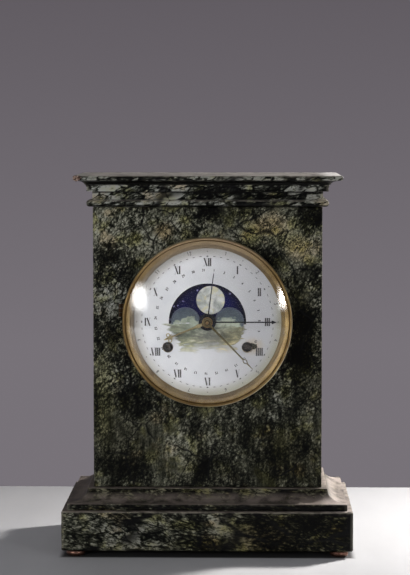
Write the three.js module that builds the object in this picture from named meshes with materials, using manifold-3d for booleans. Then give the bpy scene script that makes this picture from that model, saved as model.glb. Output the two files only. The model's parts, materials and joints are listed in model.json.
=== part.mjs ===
// Marble mantel clock with moon and calendar dial and a striking movement
// Millimetres, +Z up, the front faces -Y
import * as THREE from "three";
import { mergeVertices } from "three/addons/utils/BufferGeometryUtils.js";
import Module from "manifold-3d";

const wasm = await Module();
wasm.setup();

// Clearances
const CEMENT = 0.3; // bed between two stones, and between stone and metal
const SEAT = 0.3; // one metal piece set against another
const RUN = 0.25; // radial room of a turning arbor or pipe

// Stone case
const BODY_WIDTH = 226.4;
const BODY_DEPTH = 123.2;
const BODY_HEIGHT = 278.2;
const ARRIS = 1; // taken off the plinth's edges
const FRONT_WALL = 20;
const BACK_WALL = 18;
const SIDE_WALL = 18;
const PLINTH_OVERHANG = 30.2;
const PLINTH_HEIGHT = 39;
const FOOT_HEIGHT = 6.4;
const FOOT_RADIUS = 9.6;
const FOOT_INSET = 13.4;
const FILLET_INSET = 5.4;
const FILLET_HEIGHT = 6.4;
const COVE_HEIGHT = 12.7;
const LEDGE = 5.7;
const BAND_OUT = 6.2;
const BAND_HEIGHT = 7;
const FRIEZE_HEIGHT = 8.2;
const BED_OUT = 7.9;
const BED_HEIGHT = 7;
const TOP_OUT = 19.4;
const TOP_COVE = 3.2;
const TOP_EDGE = 5.2;
const OPENING_RADIUS = 78.4; // round openings of front and back
const DIAL_ABOVE_BODY_FOOT = 165;

// Brass rings, bezel and dial
const RING_WALL = 1.6;
const RING_DEPTH = 16;
const RING_PLAY = 0.4; // ring in the stone, and dial in the ring
const FLANGE_OVERLAP = 4.2; // flange over the edge of the stone
const FLANGE_THICKNESS = 2.7;
const BEZEL_OVERLAP = 1.2; // bezel beyond the flange
const BEZEL_DEPTH = 8.6;
const DIAL_REBATE = 3.4; // dial edge under the sloping ring
const GLASS_THICKNESS = 1.8;
const GLASS_RISE = 13.5;
const DIAL_THICKNESS = 2;
const DIAL_RISE = 3;
const DIAL_HOLE = 6;
const MOON_OPENING = 38;
const MOON_DROP = 2; // foot of the opening below the dial centre
const HUMP_AT = 21.6;
const HUMP_RADIUS = 14.4;
const WIND_X = 39;
const WIND_Z = -25;
const WIND_HOLE = 5.3;
const HAND_STEP = 1.8; // from one hand to the next
const HAND_THICKNESS = 0.9;
const HINGE_UP = 11.5; // bezel hinge above the dial centre
const KNUCKLE_RADIUS = 1.7;
const KNUCKLE_LENGTH = 4.2;
const HINGE_ROOM = 0.6; // knuckle beside the rim
const PIN_RADIUS = 0.7;
const PIN_PLAY = 0.3;
const LUG_INTO_RIM = 3;

// Round sizes that follow the stone opening
const RING_OUTER = OPENING_RADIUS - RING_PLAY;
const RING_INNER = RING_OUTER - RING_WALL;
const FLANGE_RADIUS = OPENING_RADIUS + FLANGE_OVERLAP;
const BEZEL_RADIUS = FLANGE_RADIUS + BEZEL_OVERLAP;
const DIAL_RADIUS = RING_INNER - RING_PLAY;
const SIGHT_RADIUS = DIAL_RADIUS - DIAL_REBATE;

// Reach of the hands from the dial centre
const MINUTE_REACH = 64;
const HOUR_REACH = 46;
const DATE_REACH = 49;
const MONTH_REACH = 67.7;

// Pipes on the dial axis, from the outside in
const MOON_PIPE = 5.5;
const MONTH_PIPE = 4.65;
const DATE_PIPE = 3.8;
const HOUR_PIPE = 2.95;
const MINUTE_PIPE = 2.1;
const PIPE_WALL = 0.6;

// Rest angles of the hands, clockwise from twelve, in degrees
const MINUTE_ANGLE = 135.8;
const HOUR_ANGLE = 248;
const DATE_ANGLE = 7.3;
const MONTH_ANGLE = 90;

// Movement
const STRAP_ROOM = 7.2; // between the plates and the rings
const PLATE_RADIUS = RING_INNER - STRAP_ROOM;
const PLATE_THICKNESS = 2;
const PLATE_GAP = 38;
const PILLAR_RADIUS = 3;
const PILLAR_X = 48;
const PILLAR_Z = 42;
const LOW_PILLAR_X = 14;
const LOW_PILLAR_Z = -58;
const POST_RADIUS = 2.5; // posts of the dial plate
const POST_X = 44;
const POST_Z = 44;
const LOW_POST_X = 20;
const LOW_POST_Z = -58;
const STUD_RADIUS = 1.4;
const PIVOT = 0.8;
const ARBOR = 1.2;
const WINDING_ARBOR = 3;
const BARREL_RADIUS = 20;
const BARREL_LENGTH = 21;
const ESCAPE_RADIUS = 11.7;
const ESCAPE_UP = 38;
const ANCHOR_UP = 14.5; // anchor axis above the escape axis
const PENDULUM_LENGTH = 166.5;
const BOB_RADIUS = 23;
const BOB_THICKNESS = 11;
const ROD_RADIUS = 1.1;
const CRUTCH_LENGTH = 38;
const BELL_RADIUS = 33;
const BELL_DEPTH = 20;
const BELL_BEHIND_PLATE = 10;
const BELL_POST = 2.2;
const FLY_WIDTH = 17;
const FLY_LENGTH = 11;
const PIN_CIRCLE = 11; // lifting pins on the pin wheel
const COUNT_RIM = 16.5;
const HAMMER_HEAD = 3;
const BELL_AT = { x: -14, z: 12 };
const HAMMER_AT = { x: -50, z: 31 };

// Teeth, and the size of a tooth as pitch diameter over teeth
const BARREL_TEETH = 48;
const SECOND_LEAVES = 6;
const BARREL_TOOTH = 0.96;
const SECOND_TEETH = 45;
const CENTRE_LEAVES = 6;
const SECOND_TOOTH = 0.87;
const CENTRE_TEETH = 60;
const THIRD_LEAVES = 6;
const CENTRE_TOOTH = 0.65;
const THIRD_TEETH = 66;
const ESCAPE_LEAVES = 6;
const THIRD_TOOTH = 0.55;
const ESCAPE_TEETH = 40;
const STRIKE_TEETH = 40;
const COUNT_LEAVES = 8;
const COUNT_TEETH = 54;
const PIN_LEAVES = 6;
const COUNT_TOOTH = 0.75;
const COUNT_FROM_CENTRE = 27;
const PIN_TEETH = 48;
const FLY_LEAVES = 6;
const PIN_TOOTH = 0.6;
const LIFTING_PINS = 10;
const CANNON_LEAVES = 12;
const MINUTE_TEETH = 36;
const MINUTE_TOOTH = 0.75;
const MINUTE_LEAVES = 8;
const HOUR_TEETH = 32;
const HOUR_LEAVES = 16;
const CALENDAR_TEETH = 32;
const STAR_RADIUS = 12;

// Levels along Y
const FACE = -BODY_DEPTH / 2;
const BACK = BODY_DEPTH / 2;
const DIAL_EDGE = FACE - 2;
const DIAL_CROWN = DIAL_EDGE - DIAL_RISE;
const MOON_LEVEL = FACE - 0.8; // back of the painted disc
const DIAL_PLATE = FACE + 5; // back of the dial plate
const MONTH_LEVEL = DIAL_PLATE + 2;
const DATE_LEVEL = MONTH_LEVEL + 2;
const CALENDAR_LEVEL = DATE_LEVEL + 2.5;
const HOUR_LEVEL = CALENDAR_LEVEL + 2.5;
const MINUTE_LEVEL = HOUR_LEVEL + 5;
const RATCHET_LEVEL = MINUTE_LEVEL + 2.4;
const FRONT_PLATE = RATCHET_LEVEL + 3.6; // back of the front plate
const BACK_PLATE = FRONT_PLATE + PLATE_GAP; // front of the back plate
const PLATE_REAR = BACK_PLATE + PLATE_THICKNESS;
const PENDULUM_LEVEL = PLATE_REAR + 6;

// Heights
const PLINTH_FOOT = FOOT_HEIGHT;
const BASE_FOOT = PLINTH_FOOT + PLINTH_HEIGHT + CEMENT;
const BODY_FOOT = BASE_FOOT + FILLET_HEIGHT + COVE_HEIGHT + CEMENT;
const FRIEZE_FOOT = BODY_FOOT + BODY_HEIGHT + CEMENT;
const TOP_FOOT = FRIEZE_FOOT + BAND_HEIGHT + FRIEZE_HEIGHT + BED_HEIGHT + CEMENT;
const DIAL_HEIGHT = BODY_FOOT + DIAL_ABOVE_BODY_FOOT;

// Materials
const surface = (color, metalness, roughness) =>
  new THREE.MeshStandardMaterial({ color, metalness, roughness });
const MARBLE = surface(0x2c352f, 0, 0.3);
const BRASS = surface(0xa98a52, 1, 0.4);
const GILT = surface(0xc79a4a, 1, 0.35);
const BLUED = surface(0x1c2230, 1, 0.35);
const STEEL = surface(0x8d9096, 1, 0.35);
const ENAMEL = surface(0xe6e6ea, 0, 0.2);
const PAINTED = surface(0x1a2440, 0, 0.5);
const GLASS = surface(0xdfe6e6, 0, 0.05);
const COPPER = surface(0xb5735a, 1, 0.45);

// Sides of round pieces
const WIDE = 32; // rings, dial and openings
const MEDIUM = 20; // drums, bell and bob
const NARROW = 12; // pipes, bores and hubs
const FINE = 8; // pins, posts and pillars
const SLIM = 6; // thin arbors

// Groups: the case in the part's frame, the movement with its origin on the dial axis
const clock = new THREE.Group();
const movement = new THREE.Group();
movement.position.z = DIAL_HEIGHT;
clock.add(movement);

function put(parent, name, material, geometry, x = 0, z = 0) {
  const mesh = new THREE.Mesh(geometry, material);
  mesh.name = name;
  mesh.position.set(x, 0, z);
  parent.add(mesh);
}

// Solids: joining and cutting
function solidOf(geometry) {
  const bare = geometry.clone();
  bare.deleteAttribute("normal");
  bare.deleteAttribute("uv");
  const merged = mergeVertices(bare, 1e-4);
  return new wasm.Manifold(
    new wasm.Mesh({
      numProp: 3,
      vertProperties: merged.attributes.position.array,
      triVerts: new Uint32Array(merged.index.array),
    }),
  );
}

function geometryOf(solid) {
  const mesh = solid.getMesh();
  const geometry = new THREE.BufferGeometry();
  geometry.setAttribute("position", new THREE.BufferAttribute(new Float32Array(mesh.vertProperties), 3));
  geometry.setIndex(new THREE.BufferAttribute(mesh.triVerts, 1));
  geometry.computeVertexNormals();
  return geometry;
}

const join = (...pieces) => geometryOf(pieces.map(solidOf).reduce((a, b) => a.add(b)));
const cut = (piece, ...tools) =>
  geometryOf(tools.map(solidOf).reduce((a, b) => a.subtract(b), solidOf(piece)));

// Shapes seen from the front: x to the right, y up
const polar = (radius, angle) => new THREE.Vector2(radius * Math.cos(angle), radius * Math.sin(angle));
const degrees = (value) => THREE.MathUtils.degToRad(value);
const point = (x, y) => new THREE.Vector2(x, y);

function arc(radius, from, to, steps, x = 0, y = 0) {
  return Array.from({ length: steps + 1 }, (_, i) => {
    const angle = from + ((to - from) * i) / steps;
    return polar(radius, angle).add(point(x, y));
  });
}

const circle = (radius, steps, x = 0, y = 0) => arc(radius, 0, 2 * Math.PI, steps, x, y).slice(0, steps);

function outlined(points, ...holes) {
  const shape = new THREE.Shape(points);
  shape.holes = holes.map((hole) => new THREE.Path(hole));
  return shape;
}

// A flat piece from a front shape, its back at a level
function flat(shape, back, thickness) {
  const geometry = new THREE.ExtrudeGeometry(shape, { depth: thickness, bevelEnabled: false });
  return geometry.rotateX(Math.PI / 2).translate(0, back, 0);
}

// A turned piece about Y from [radius, level] corners, closed by itself or on the axis
function turned(corners, steps) {
  const points = corners.map(([radius, level]) => point(radius, level));
  if (points[0].x > 0) points.push(points[0].clone());
  if (THREE.ShapeUtils.area(points) < 0) points.reverse();
  return new THREE.LatheGeometry(points, steps);
}

function rod(radius, front, back, steps = FINE) {
  return new THREE.CylinderGeometry(radius, radius, back - front, steps).translate(0, (front + back) / 2, 0);
}

function tube(outer, inner, front, back, steps) {
  return turned([[inner, front], [outer, front], [outer, back], [inner, back]], steps);
}

function block(left, right, front, back, bottom, top) {
  const geometry = new THREE.BoxGeometry(right - left, back - front, top - bottom);
  return geometry.translate((left + right) / 2, (front + back) / 2, (bottom + top) / 2);
}

const upright = (radius, bottom, top, steps = FINE) =>
  rod(radius, bottom, top, steps).rotateX(Math.PI / 2);

// A rectangular stone course from [projection, height] corners, bottom to top
function course(halfWidth, halfDepth, foot, corners) {
  const positions = corners.flatMap(([out, height]) =>
    [[-1, -1], [1, -1], [1, 1], [-1, 1]].flatMap(([x, y]) => [
      x * (halfWidth + out),
      y * (halfDepth + out),
      foot + height,
    ]),
  );
  const last = 4 * (corners.length - 1);
  const faces = [0, 3, 2, 0, 2, 1, last, last + 1, last + 2, last, last + 2, last + 3];
  for (let level = 0; level < last; level += 4) {
    for (let side = 0; side < 4; side += 1) {
      const next = (side + 1) % 4;
      faces.push(level + side, level + next, level + 4 + next);
      faces.push(level + side, level + 4 + next, level + 4 + side);
    }
  }
  const geometry = new THREE.BufferGeometry();
  geometry.setAttribute("position", new THREE.Float32BufferAttribute(positions, 3));
  geometry.setIndex(faces);
  return geometry;
}

// Wheel work
function wheelOutline(teeth, tooth, phase) {
  const pitch = (2 * Math.PI) / teeth;
  const tip = (tooth * teeth) / 2 + 1.1 * tooth;
  const root = (tooth * teeth) / 2 - 1.25 * tooth;
  return Array.from({ length: teeth }, (_, i) => phase + i * pitch).flatMap((at) => [
    polar(tip, at),
    polar(root, at + 0.5 * pitch),
  ]);
}

function pinionOutline(leaves, tooth, phase) {
  const pitch = (2 * Math.PI) / leaves;
  const tip = (tooth * leaves) / 2 + 0.45 * tooth;
  const root = (tooth * leaves) / 2 - 1.35 * tooth;
  return Array.from({ length: leaves }, (_, i) => phase + i * pitch).flatMap((at) => [
    polar(root, at - 0.17 * pitch),
    polar(tip, at - 0.12 * pitch),
    polar(tip, at + 0.12 * pitch),
    polar(root, at + 0.17 * pitch),
  ]);
}

function sawOutline(teeth, tip, root) {
  const pitch = (2 * Math.PI) / teeth;
  return Array.from({ length: teeth }, (_, i) => i * pitch).flatMap((at) => [
    polar(tip, at),
    polar(root, at + 0.2 * pitch),
  ]);
}

// The turn of a following wheel whose gap meets the driver's tooth
function meshPhase(driver, follower) {
  const toward = Math.atan2(follower.z - driver.z, follower.x - driver.x);
  const part = ((toward - driver.phase) * driver.teeth) / (2 * Math.PI);
  return toward + Math.PI - ((0.5 - part) * 2 * Math.PI) / follower.teeth;
}

// The point at two distances from two points, to the left of the way from the first to the second
function crossing(a, b, fromA, fromB, side) {
  const reach = Math.hypot(b.x - a.x, b.z - a.z);
  const along = (fromA ** 2 - fromB ** 2 + reach ** 2) / (2 * reach);
  const across = side * Math.sqrt(fromA ** 2 - along ** 2);
  const ux = (b.x - a.x) / reach;
  const uz = (b.z - a.z) / reach;
  return { x: a.x + along * ux - across * uz, z: a.z + along * uz + across * ux };
}

const spacing = (teeth, leaves, tooth) => ((teeth + leaves) * tooth) / 2;

// Places of the arbors, seen from the front with the dial centre as origin
const CENTRE = { x: 0, z: 0 };
const GOING = { x: WIND_X, z: WIND_Z };
const STRIKE = { x: -WIND_X, z: WIND_Z };
const BARREL_SPACING = spacing(BARREL_TEETH, SECOND_LEAVES, BARREL_TOOTH);
const STRIKE_TOOTH = (2 * BARREL_SPACING) / (STRIKE_TEETH + COUNT_LEAVES);
const SECOND = crossing(CENTRE, GOING, spacing(SECOND_TEETH, CENTRE_LEAVES, SECOND_TOOTH), BARREL_SPACING, 1);
const ESCAPE = { x: 0, z: ESCAPE_UP };
const CENTRE_SPACING = spacing(CENTRE_TEETH, THIRD_LEAVES, CENTRE_TOOTH);
const THIRD = crossing(CENTRE, ESCAPE, CENTRE_SPACING, spacing(THIRD_TEETH, ESCAPE_LEAVES, THIRD_TOOTH), 1);
const ANCHOR = { x: 0, z: ESCAPE_UP + ANCHOR_UP };
const COUNT = crossing(CENTRE, STRIKE, COUNT_FROM_CENTRE, BARREL_SPACING, -1);
const PIN_SPACING = spacing(COUNT_TEETH, PIN_LEAVES, COUNT_TOOTH);
const PIN_TURN = degrees(100); // way from the count arbor to the pin wheel
const PIN_WHEEL = {
  x: COUNT.x + PIN_SPACING * Math.cos(PIN_TURN),
  z: COUNT.z + PIN_SPACING * Math.sin(PIN_TURN),
};
const FLY = { x: PIN_WHEEL.x, z: PIN_WHEEL.z + spacing(PIN_TEETH, FLY_LEAVES, PIN_TOOTH) };
const MOTION_SPACING = spacing(MINUTE_TEETH, CANNON_LEAVES, MINUTE_TOOTH);
const HOUR_TOOTH = (2 * MOTION_SPACING) / (HOUR_TEETH + MINUTE_LEAVES);
const CALENDAR_TOOTH = (2 * MOTION_SPACING) / (CALENDAR_TEETH + HOUR_LEAVES);
const DIAGONAL = MOTION_SPACING * Math.SQRT1_2;
const MINUTE = { x: -DIAGONAL, z: DIAGONAL };
const CALENDAR = { x: DIAGONAL, z: DIAGONAL };
const CLICK_OFF = { x: 11, z: 7 }; // click pivot from its ratchet
const PILLARS = [-1, 1].flatMap((side) => [[side * PILLAR_X, PILLAR_Z], [side * LOW_PILLAR_X, LOW_PILLAR_Z]]);
const POSTS = [-1, 1].flatMap((side) => [[side * POST_X, POST_Z], [side * LOW_POST_X, LOW_POST_Z]]);

// Stone case
const bodyX = BODY_WIDTH / 2;
const bodyY = BODY_DEPTH / 2;
const plinthX = bodyX + PLINTH_OVERHANG;
const plinthY = bodyY + PLINTH_OVERHANG;
put(clock, "plinth", MARBLE, course(plinthX, plinthY, PLINTH_FOOT, [
  [-ARRIS, 0],
  [0, ARRIS],
  [0, PLINTH_HEIGHT - ARRIS],
  [-ARRIS, PLINTH_HEIGHT],
]));

const fillet = PLINTH_OVERHANG - FILLET_INSET;
const covePart = (outShare, heightShare) => [
  LEDGE + outShare * (fillet - LEDGE),
  FILLET_HEIGHT + heightShare * COVE_HEIGHT,
];
put(clock, "base_moulding", MARBLE, course(bodyX, bodyY, BASE_FOOT, [
  [fillet, 0],
  [fillet, FILLET_HEIGHT],
  covePart(0.62, 0.05),
  covePart(0.36, 0.16),
  covePart(0.17, 0.36),
  covePart(0.06, 0.62),
  covePart(0, 0.86),
  covePart(0, 1),
]));

const wallShape = () => [
  point(-bodyX, BODY_FOOT),
  point(bodyX, BODY_FOOT),
  point(bodyX, BODY_FOOT + BODY_HEIGHT),
  point(-bodyX, BODY_FOOT + BODY_HEIGHT),
];
const opening = () => circle(OPENING_RADIUS, WIDE, 0, DIAL_HEIGHT);
put(clock, "front_slab", MARBLE, flat(outlined(wallShape(), opening()), FACE + FRONT_WALL, FRONT_WALL));
put(clock, "back_slab", MARBLE, flat(outlined(wallShape(), opening()), BACK, BACK_WALL));
for (const [name, side] of [["left_slab", -1], ["right_slab", 1]]) {
  const ends = [side * bodyX, side * (bodyX - SIDE_WALL)].sort((a, b) => a - b);
  const front = FACE + FRONT_WALL + CEMENT;
  const back = BACK - BACK_WALL - CEMENT;
  put(clock, name, MARBLE, block(...ends, front, back, BODY_FOOT, BODY_FOOT + BODY_HEIGHT));
}

const bedFoot = BAND_HEIGHT + FRIEZE_HEIGHT;
put(clock, "frieze_slab", MARBLE, course(bodyX, bodyY, FRIEZE_FOOT, [
  [BAND_OUT - 1, 0],
  [BAND_OUT, 0.2 * BAND_HEIGHT],
  [BAND_OUT, 0.5 * BAND_HEIGHT],
  [0.7 * BAND_OUT, 0.8 * BAND_HEIGHT],
  [0.5, BAND_HEIGHT],
  [0.5, bedFoot],
  [BAND_OUT - 0.6, bedFoot],
  [BAND_OUT, bedFoot + 0.4 * BED_HEIGHT],
  [BED_OUT, bedFoot + BED_HEIGHT],
]));
put(clock, "top_slab", MARBLE, course(bodyX, bodyY, TOP_FOOT, [
  [BED_OUT, 0],
  [BED_OUT + 0.5 * (TOP_OUT - BED_OUT), 0.4 * TOP_COVE],
  [TOP_OUT - 1.2, TOP_COVE],
  [TOP_OUT, TOP_COVE + 0.25 * TOP_EDGE],
  [TOP_OUT, TOP_COVE + 0.75 * TOP_EDGE],
  [TOP_OUT - 1.2, TOP_COVE + TOP_EDGE],
]));

for (const [name, x, y] of [
  ["foot_front_left", -1, -1],
  ["foot_front_right", 1, -1],
  ["foot_back_left", -1, 1],
  ["foot_back_right", 1, 1],
]) {
  const foot = turned([
    [0, 0],
    [0.82 * FOOT_RADIUS, 0],
    [FOOT_RADIUS, 0.4 * FOOT_HEIGHT],
    [0.9 * FOOT_RADIUS, 0.85 * FOOT_HEIGHT],
    [0.7 * FOOT_RADIUS, FOOT_HEIGHT],
    [0, FOOT_HEIGHT],
  ], NARROW);
  foot.rotateX(Math.PI / 2);
  foot.translate(x * (plinthX - FOOT_INSET), y * (plinthY - FOOT_INSET), 0);
  put(clock, name, COPPER, foot);
}

// Front ring, bezel, glass and sloping ring
const flangeFront = FACE - CEMENT - FLANGE_THICKNESS;
const bezelBack = flangeFront - SEAT;
const bezelFront = bezelBack - BEZEL_DEPTH;
const hingeX = -(BEZEL_RADIUS + KNUCKLE_RADIUS + HINGE_ROOM);
const hingeY = bezelBack - 1.6;
const middleLow = HINGE_UP - KNUCKLE_LENGTH / 2;
const middleHigh = HINGE_UP + KNUCKLE_LENGTH / 2;

// A ring with a flange on the face of the stone and a tube into it, from the outside to the inside level
function wallRing(outside, face, inside) {
  return turned([
    [RING_INNER, outside],
    [FLANGE_RADIUS, outside],
    [FLANGE_RADIUS, face],
    [RING_OUTER, face],
    [RING_OUTER, inside],
    [RING_INNER, inside],
  ], WIDE);
}

// One hinge knuckle with the lug that carries it, which reaches into the rim of a ring
function knuckle(x, y, rim, low, high, lugFront, lugBack) {
  const barrel = upright(KNUCKLE_RADIUS, low, high, NARROW).translate(x, y, 0);
  const lug = block(x - 0.8 * KNUCKLE_RADIUS, LUG_INTO_RIM - rim, lugFront, lugBack, low, high);
  return join(barrel, lug);
}

const pinHole = (x, y, low, high) => upright(PIN_RADIUS + PIN_PLAY, low - 1, high + 1).translate(x, y, 0);
const lowKnuckle = [middleLow - SEAT - KNUCKLE_LENGTH, middleLow - SEAT];
const highKnuckle = [middleHigh + SEAT, middleHigh + SEAT + KNUCKLE_LENGTH];
const frontLug = [hingeY, flangeFront + 1.2];
put(movement, "front_ring", BRASS, cut(
  join(
    wallRing(flangeFront, FACE - CEMENT, FACE + RING_DEPTH),
    knuckle(hingeX, hingeY, FLANGE_RADIUS, ...lowKnuckle, ...frontLug),
    knuckle(hingeX, hingeY, FLANGE_RADIUS, ...highKnuckle, ...frontLug),
  ),
  pinHole(hingeX, hingeY, lowKnuckle[0], highKnuckle[1]),
  rod(BEZEL_RADIUS + 0.4, bezelFront, bezelBack + 0.2, WIDE),
));
put(movement, "bezel_hinge_pin", STEEL,
  upright(PIN_RADIUS, lowKnuckle[0] - 0.6, highKnuckle[1] + 0.6).translate(hingeX, hingeY, 0));

const lipBack = bezelFront + 1.4;
const rabbet = BEZEL_RADIUS - 2.2;
const lip = rabbet - 1.4;
const bezelRing = turned([
  [rabbet, bezelBack],
  [BEZEL_RADIUS, bezelBack],
  [BEZEL_RADIUS, bezelFront + 2],
  [BEZEL_RADIUS - 1.4, bezelFront],
  [BEZEL_RADIUS - 2.8, bezelFront + 0.9],
  [lip, bezelFront + 0.6],
  [lip, lipBack],
  [rabbet, lipBack],
], WIDE);
put(movement, "bezel", BRASS, cut(
  join(
    bezelRing,
    knuckle(hingeX, hingeY, BEZEL_RADIUS, middleLow, middleHigh, hingeY - 1.4, bezelBack - 0.2),
  ),
  pinHole(hingeX, hingeY, middleLow, middleHigh),
  rod(rabbet, bezelFront + 2, bezelBack + 1, WIDE),
));

const glassRadius = rabbet - 0.4;
const glassEdge = lipBack + 0.7;
const glassCurve = (share, inward) => [
  share * glassRadius,
  glassEdge - GLASS_RISE * (1 - share ** 2) + inward,
];
const glassShares = [0, 0.35, 0.7, 1];
put(movement, "glass", GLASS, turned([
  ...glassShares.map((share) => glassCurve(share, 0)),
  ...glassShares.toReversed().map((share) => glassCurve(share, GLASS_THICKNESS)),
], WIDE));

const slopeBack = DIAL_EDGE - 1;
const slopeFront = glassEdge + GLASS_THICKNESS + 0.4;
put(movement, "sloping_ring", BRASS, turned([
  [SIGHT_RADIUS, slopeBack - 0.7],
  [glassRadius - 0.6, slopeFront],
  [glassRadius, slopeFront + 0.7],
  [SIGHT_RADIUS + 0.4, slopeBack],
], WIDE));

// Dial: convex enamel with the moon opening, two winding holes and its feet
const dialCurve = (radius, inward) => [
  radius,
  DIAL_CROWN + DIAL_RISE * (radius / DIAL_RADIUS) ** 2 + inward,
];
const dialRadii = [DIAL_HOLE, 42, DIAL_RADIUS];
const dialSheet = turned([
  ...dialRadii.map((radius) => dialCurve(radius, 0)),
  ...dialRadii.toReversed().map((radius) => dialCurve(radius, DIAL_THICKNESS)),
], WIDE);
const boss = HUMP_AT - HUMP_RADIUS;
const archDrop = Math.asin(MOON_DROP / MOON_OPENING);
const humpDrop = Math.asin(MOON_DROP / HUMP_RADIUS);
const moonOpening = outlined([
  ...arc(MOON_OPENING, -archDrop, Math.PI + archDrop, 24),
  ...arc(HUMP_RADIUS, Math.PI + humpDrop, 0, 10, -HUMP_AT, 0),
  ...arc(boss, Math.PI, 0, 6).slice(1),
  ...arc(HUMP_RADIUS, Math.PI, -humpDrop, 10, HUMP_AT, 0).slice(1),
]);
const dialFeet = [90, 200, 340].map((angle) => {
  const at = polar(DIAL_RADIUS - 8, degrees(angle));
  return rod(1.6, DIAL_EDGE + 0.4, DIAL_PLATE - 1.5 - SEAT).translate(at.x, 0, at.y);
});
put(movement, "dial", ENAMEL, cut(
  join(dialSheet, ...dialFeet),
  flat(moonOpening, DIAL_EDGE + 4, 12),
  ...[-1, 1].map((side) => rod(WIND_HOLE, DIAL_CROWN - 2, FACE + 2, 16).translate(side * WIND_X, 0, WIND_Z)),
));

// Dial plate with the fixed pipe of the moon disc and the posts to the movement
const plateHoles = [-1, 1].map((side) => circle(WIND_HOLE, NARROW, side * WIND_X, WIND_Z));
const dialPlate = flat(
  outlined(
    circle(DIAL_RADIUS - 0.2, WIDE),
    circle(MOON_PIPE - PIPE_WALL, NARROW),
    circle(1 + RUN, 8, CALENDAR.x, CALENDAR.z),
    ...plateHoles,
  ),
  DIAL_PLATE,
  1.5,
);
const posts = POSTS.map(([x, z]) =>
  rod(POST_RADIUS, DIAL_PLATE - 0.5, FRONT_PLATE - PLATE_THICKNESS - SEAT).translate(x, 0, z));
put(movement, "dial_plate", BRASS, join(
  dialPlate,
  tube(MOON_PIPE, MOON_PIPE - PIPE_WALL, DIAL_CROWN + 1, DIAL_PLATE, NARROW),
  ...posts,
));

// Painted moon disc with its tooth wheel
const moonBore = MOON_PIPE + RUN;
const moonRadius = Math.hypot(WIND_X, WIND_Z) - WIND_HOLE - 1;
put(movement, "moon_disc", PAINTED, join(
  flat(outlined(circle(moonRadius, WIDE), circle(moonBore, NARROW)), MOON_LEVEL, 0.8),
  tube(moonBore + 1.6, moonBore, MOON_LEVEL - 0.4, DIAL_PLATE - 2.2, NARROW),
  flat(outlined(sawOutline(59, STAR_RADIUS, STAR_RADIUS - 0.9), circle(moonBore, NARROW)), DIAL_PLATE - 3, 1),
));

// Calendar wheels
function star(teeth, pipe, level) {
  const rim = sawOutline(teeth, STAR_RADIUS, STAR_RADIUS - 1.6);
  return flat(outlined(rim, circle(pipe - PIPE_WALL, NARROW)), level, 1);
}
const piped = (pipe, front, back) => tube(pipe, pipe - PIPE_WALL, front, back, NARROW);
const monthHandBack = DIAL_CROWN - 1.4;
const dateHandBack = monthHandBack - HAND_STEP;
const hourHandBack = dateHandBack - HAND_STEP;
const minuteHandBack = hourHandBack - HAND_STEP;
const pipeEnd = (back) => back - HAND_THICKNESS - 0.2;
put(movement, "month_wheel", BRASS, join(
  star(12, MONTH_PIPE, MONTH_LEVEL),
  piped(MONTH_PIPE, pipeEnd(monthHandBack), MONTH_LEVEL),
));
put(movement, "date_wheel", BRASS, join(
  star(31, DATE_PIPE, DATE_LEVEL),
  piped(DATE_PIPE, pipeEnd(dateHandBack), DATE_LEVEL),
));

// Motion work: cannon pinion, minute wheel, hour wheel, and the calendar wheel it drives
const cannonPhase = 0;
const minutePhase = meshPhase(
  { ...CENTRE, teeth: CANNON_LEAVES, phase: cannonPhase },
  { ...MINUTE, teeth: MINUTE_TEETH },
);
const hourPhase = meshPhase(
  { ...MINUTE, teeth: MINUTE_LEAVES, phase: 0 },
  { ...CENTRE, teeth: HOUR_TEETH },
);
const calendarPhase = meshPhase(
  { ...CENTRE, teeth: HOUR_LEAVES, phase: 0 },
  { ...CALENDAR, teeth: CALENDAR_TEETH },
);
const cannonBore = circle(MINUTE_PIPE - PIPE_WALL, NARROW);
put(movement, "cannon_pinion", STEEL, join(
  flat(outlined(pinionOutline(CANNON_LEAVES, MINUTE_TOOTH, cannonPhase), cannonBore), MINUTE_LEVEL + 2, 4.5),
  piped(MINUTE_PIPE, pipeEnd(minuteHandBack), MINUTE_LEVEL + 2),
));
const studBore = circle(STUD_RADIUS + RUN, FINE);
put(movement, "minute_wheel", BRASS, join(
  flat(outlined(wheelOutline(MINUTE_TEETH, MINUTE_TOOTH, minutePhase), studBore), MINUTE_LEVEL, 1.5),
  flat(outlined(pinionOutline(MINUTE_LEAVES, HOUR_TOOTH, 0), studBore), MINUTE_LEVEL - 1, 6.2),
), MINUTE.x, MINUTE.z);
const hourBore = circle(HOUR_PIPE - PIPE_WALL, NARROW);
put(movement, "hour_wheel", BRASS, join(
  flat(outlined(wheelOutline(HOUR_TEETH, HOUR_TOOTH, hourPhase), hourBore), HOUR_LEVEL, 1.5),
  flat(outlined(pinionOutline(HOUR_LEAVES, CALENDAR_TOOTH, 0), hourBore), HOUR_LEVEL - 1, 3),
  piped(HOUR_PIPE, pipeEnd(hourHandBack), HOUR_LEVEL),
));

// A finger that steps a star wheel once in each of its turns
function finger(back, thickness) {
  const reach = MOTION_SPACING - STAR_RADIUS - 0.4;
  const outline = [point(-1, -1.4), point(1, -1.4), point(0.5, reach), point(-0.5, reach)];
  return flat(outlined(outline), back, thickness);
}
put(movement, "calendar_wheel", BRASS, join(
  flat(outlined(wheelOutline(CALENDAR_TEETH, CALENDAR_TOOTH, calendarPhase)), CALENDAR_LEVEL, 1.5),
  rod(1, DIAL_PLATE - 4.6, FRONT_PLATE - 0.6),
  finger(DATE_LEVEL - 0.1, 0.8),
  finger(DIAL_PLATE - 3.1, 0.8),
), CALENDAR.x, CALENDAR.z);

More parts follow.
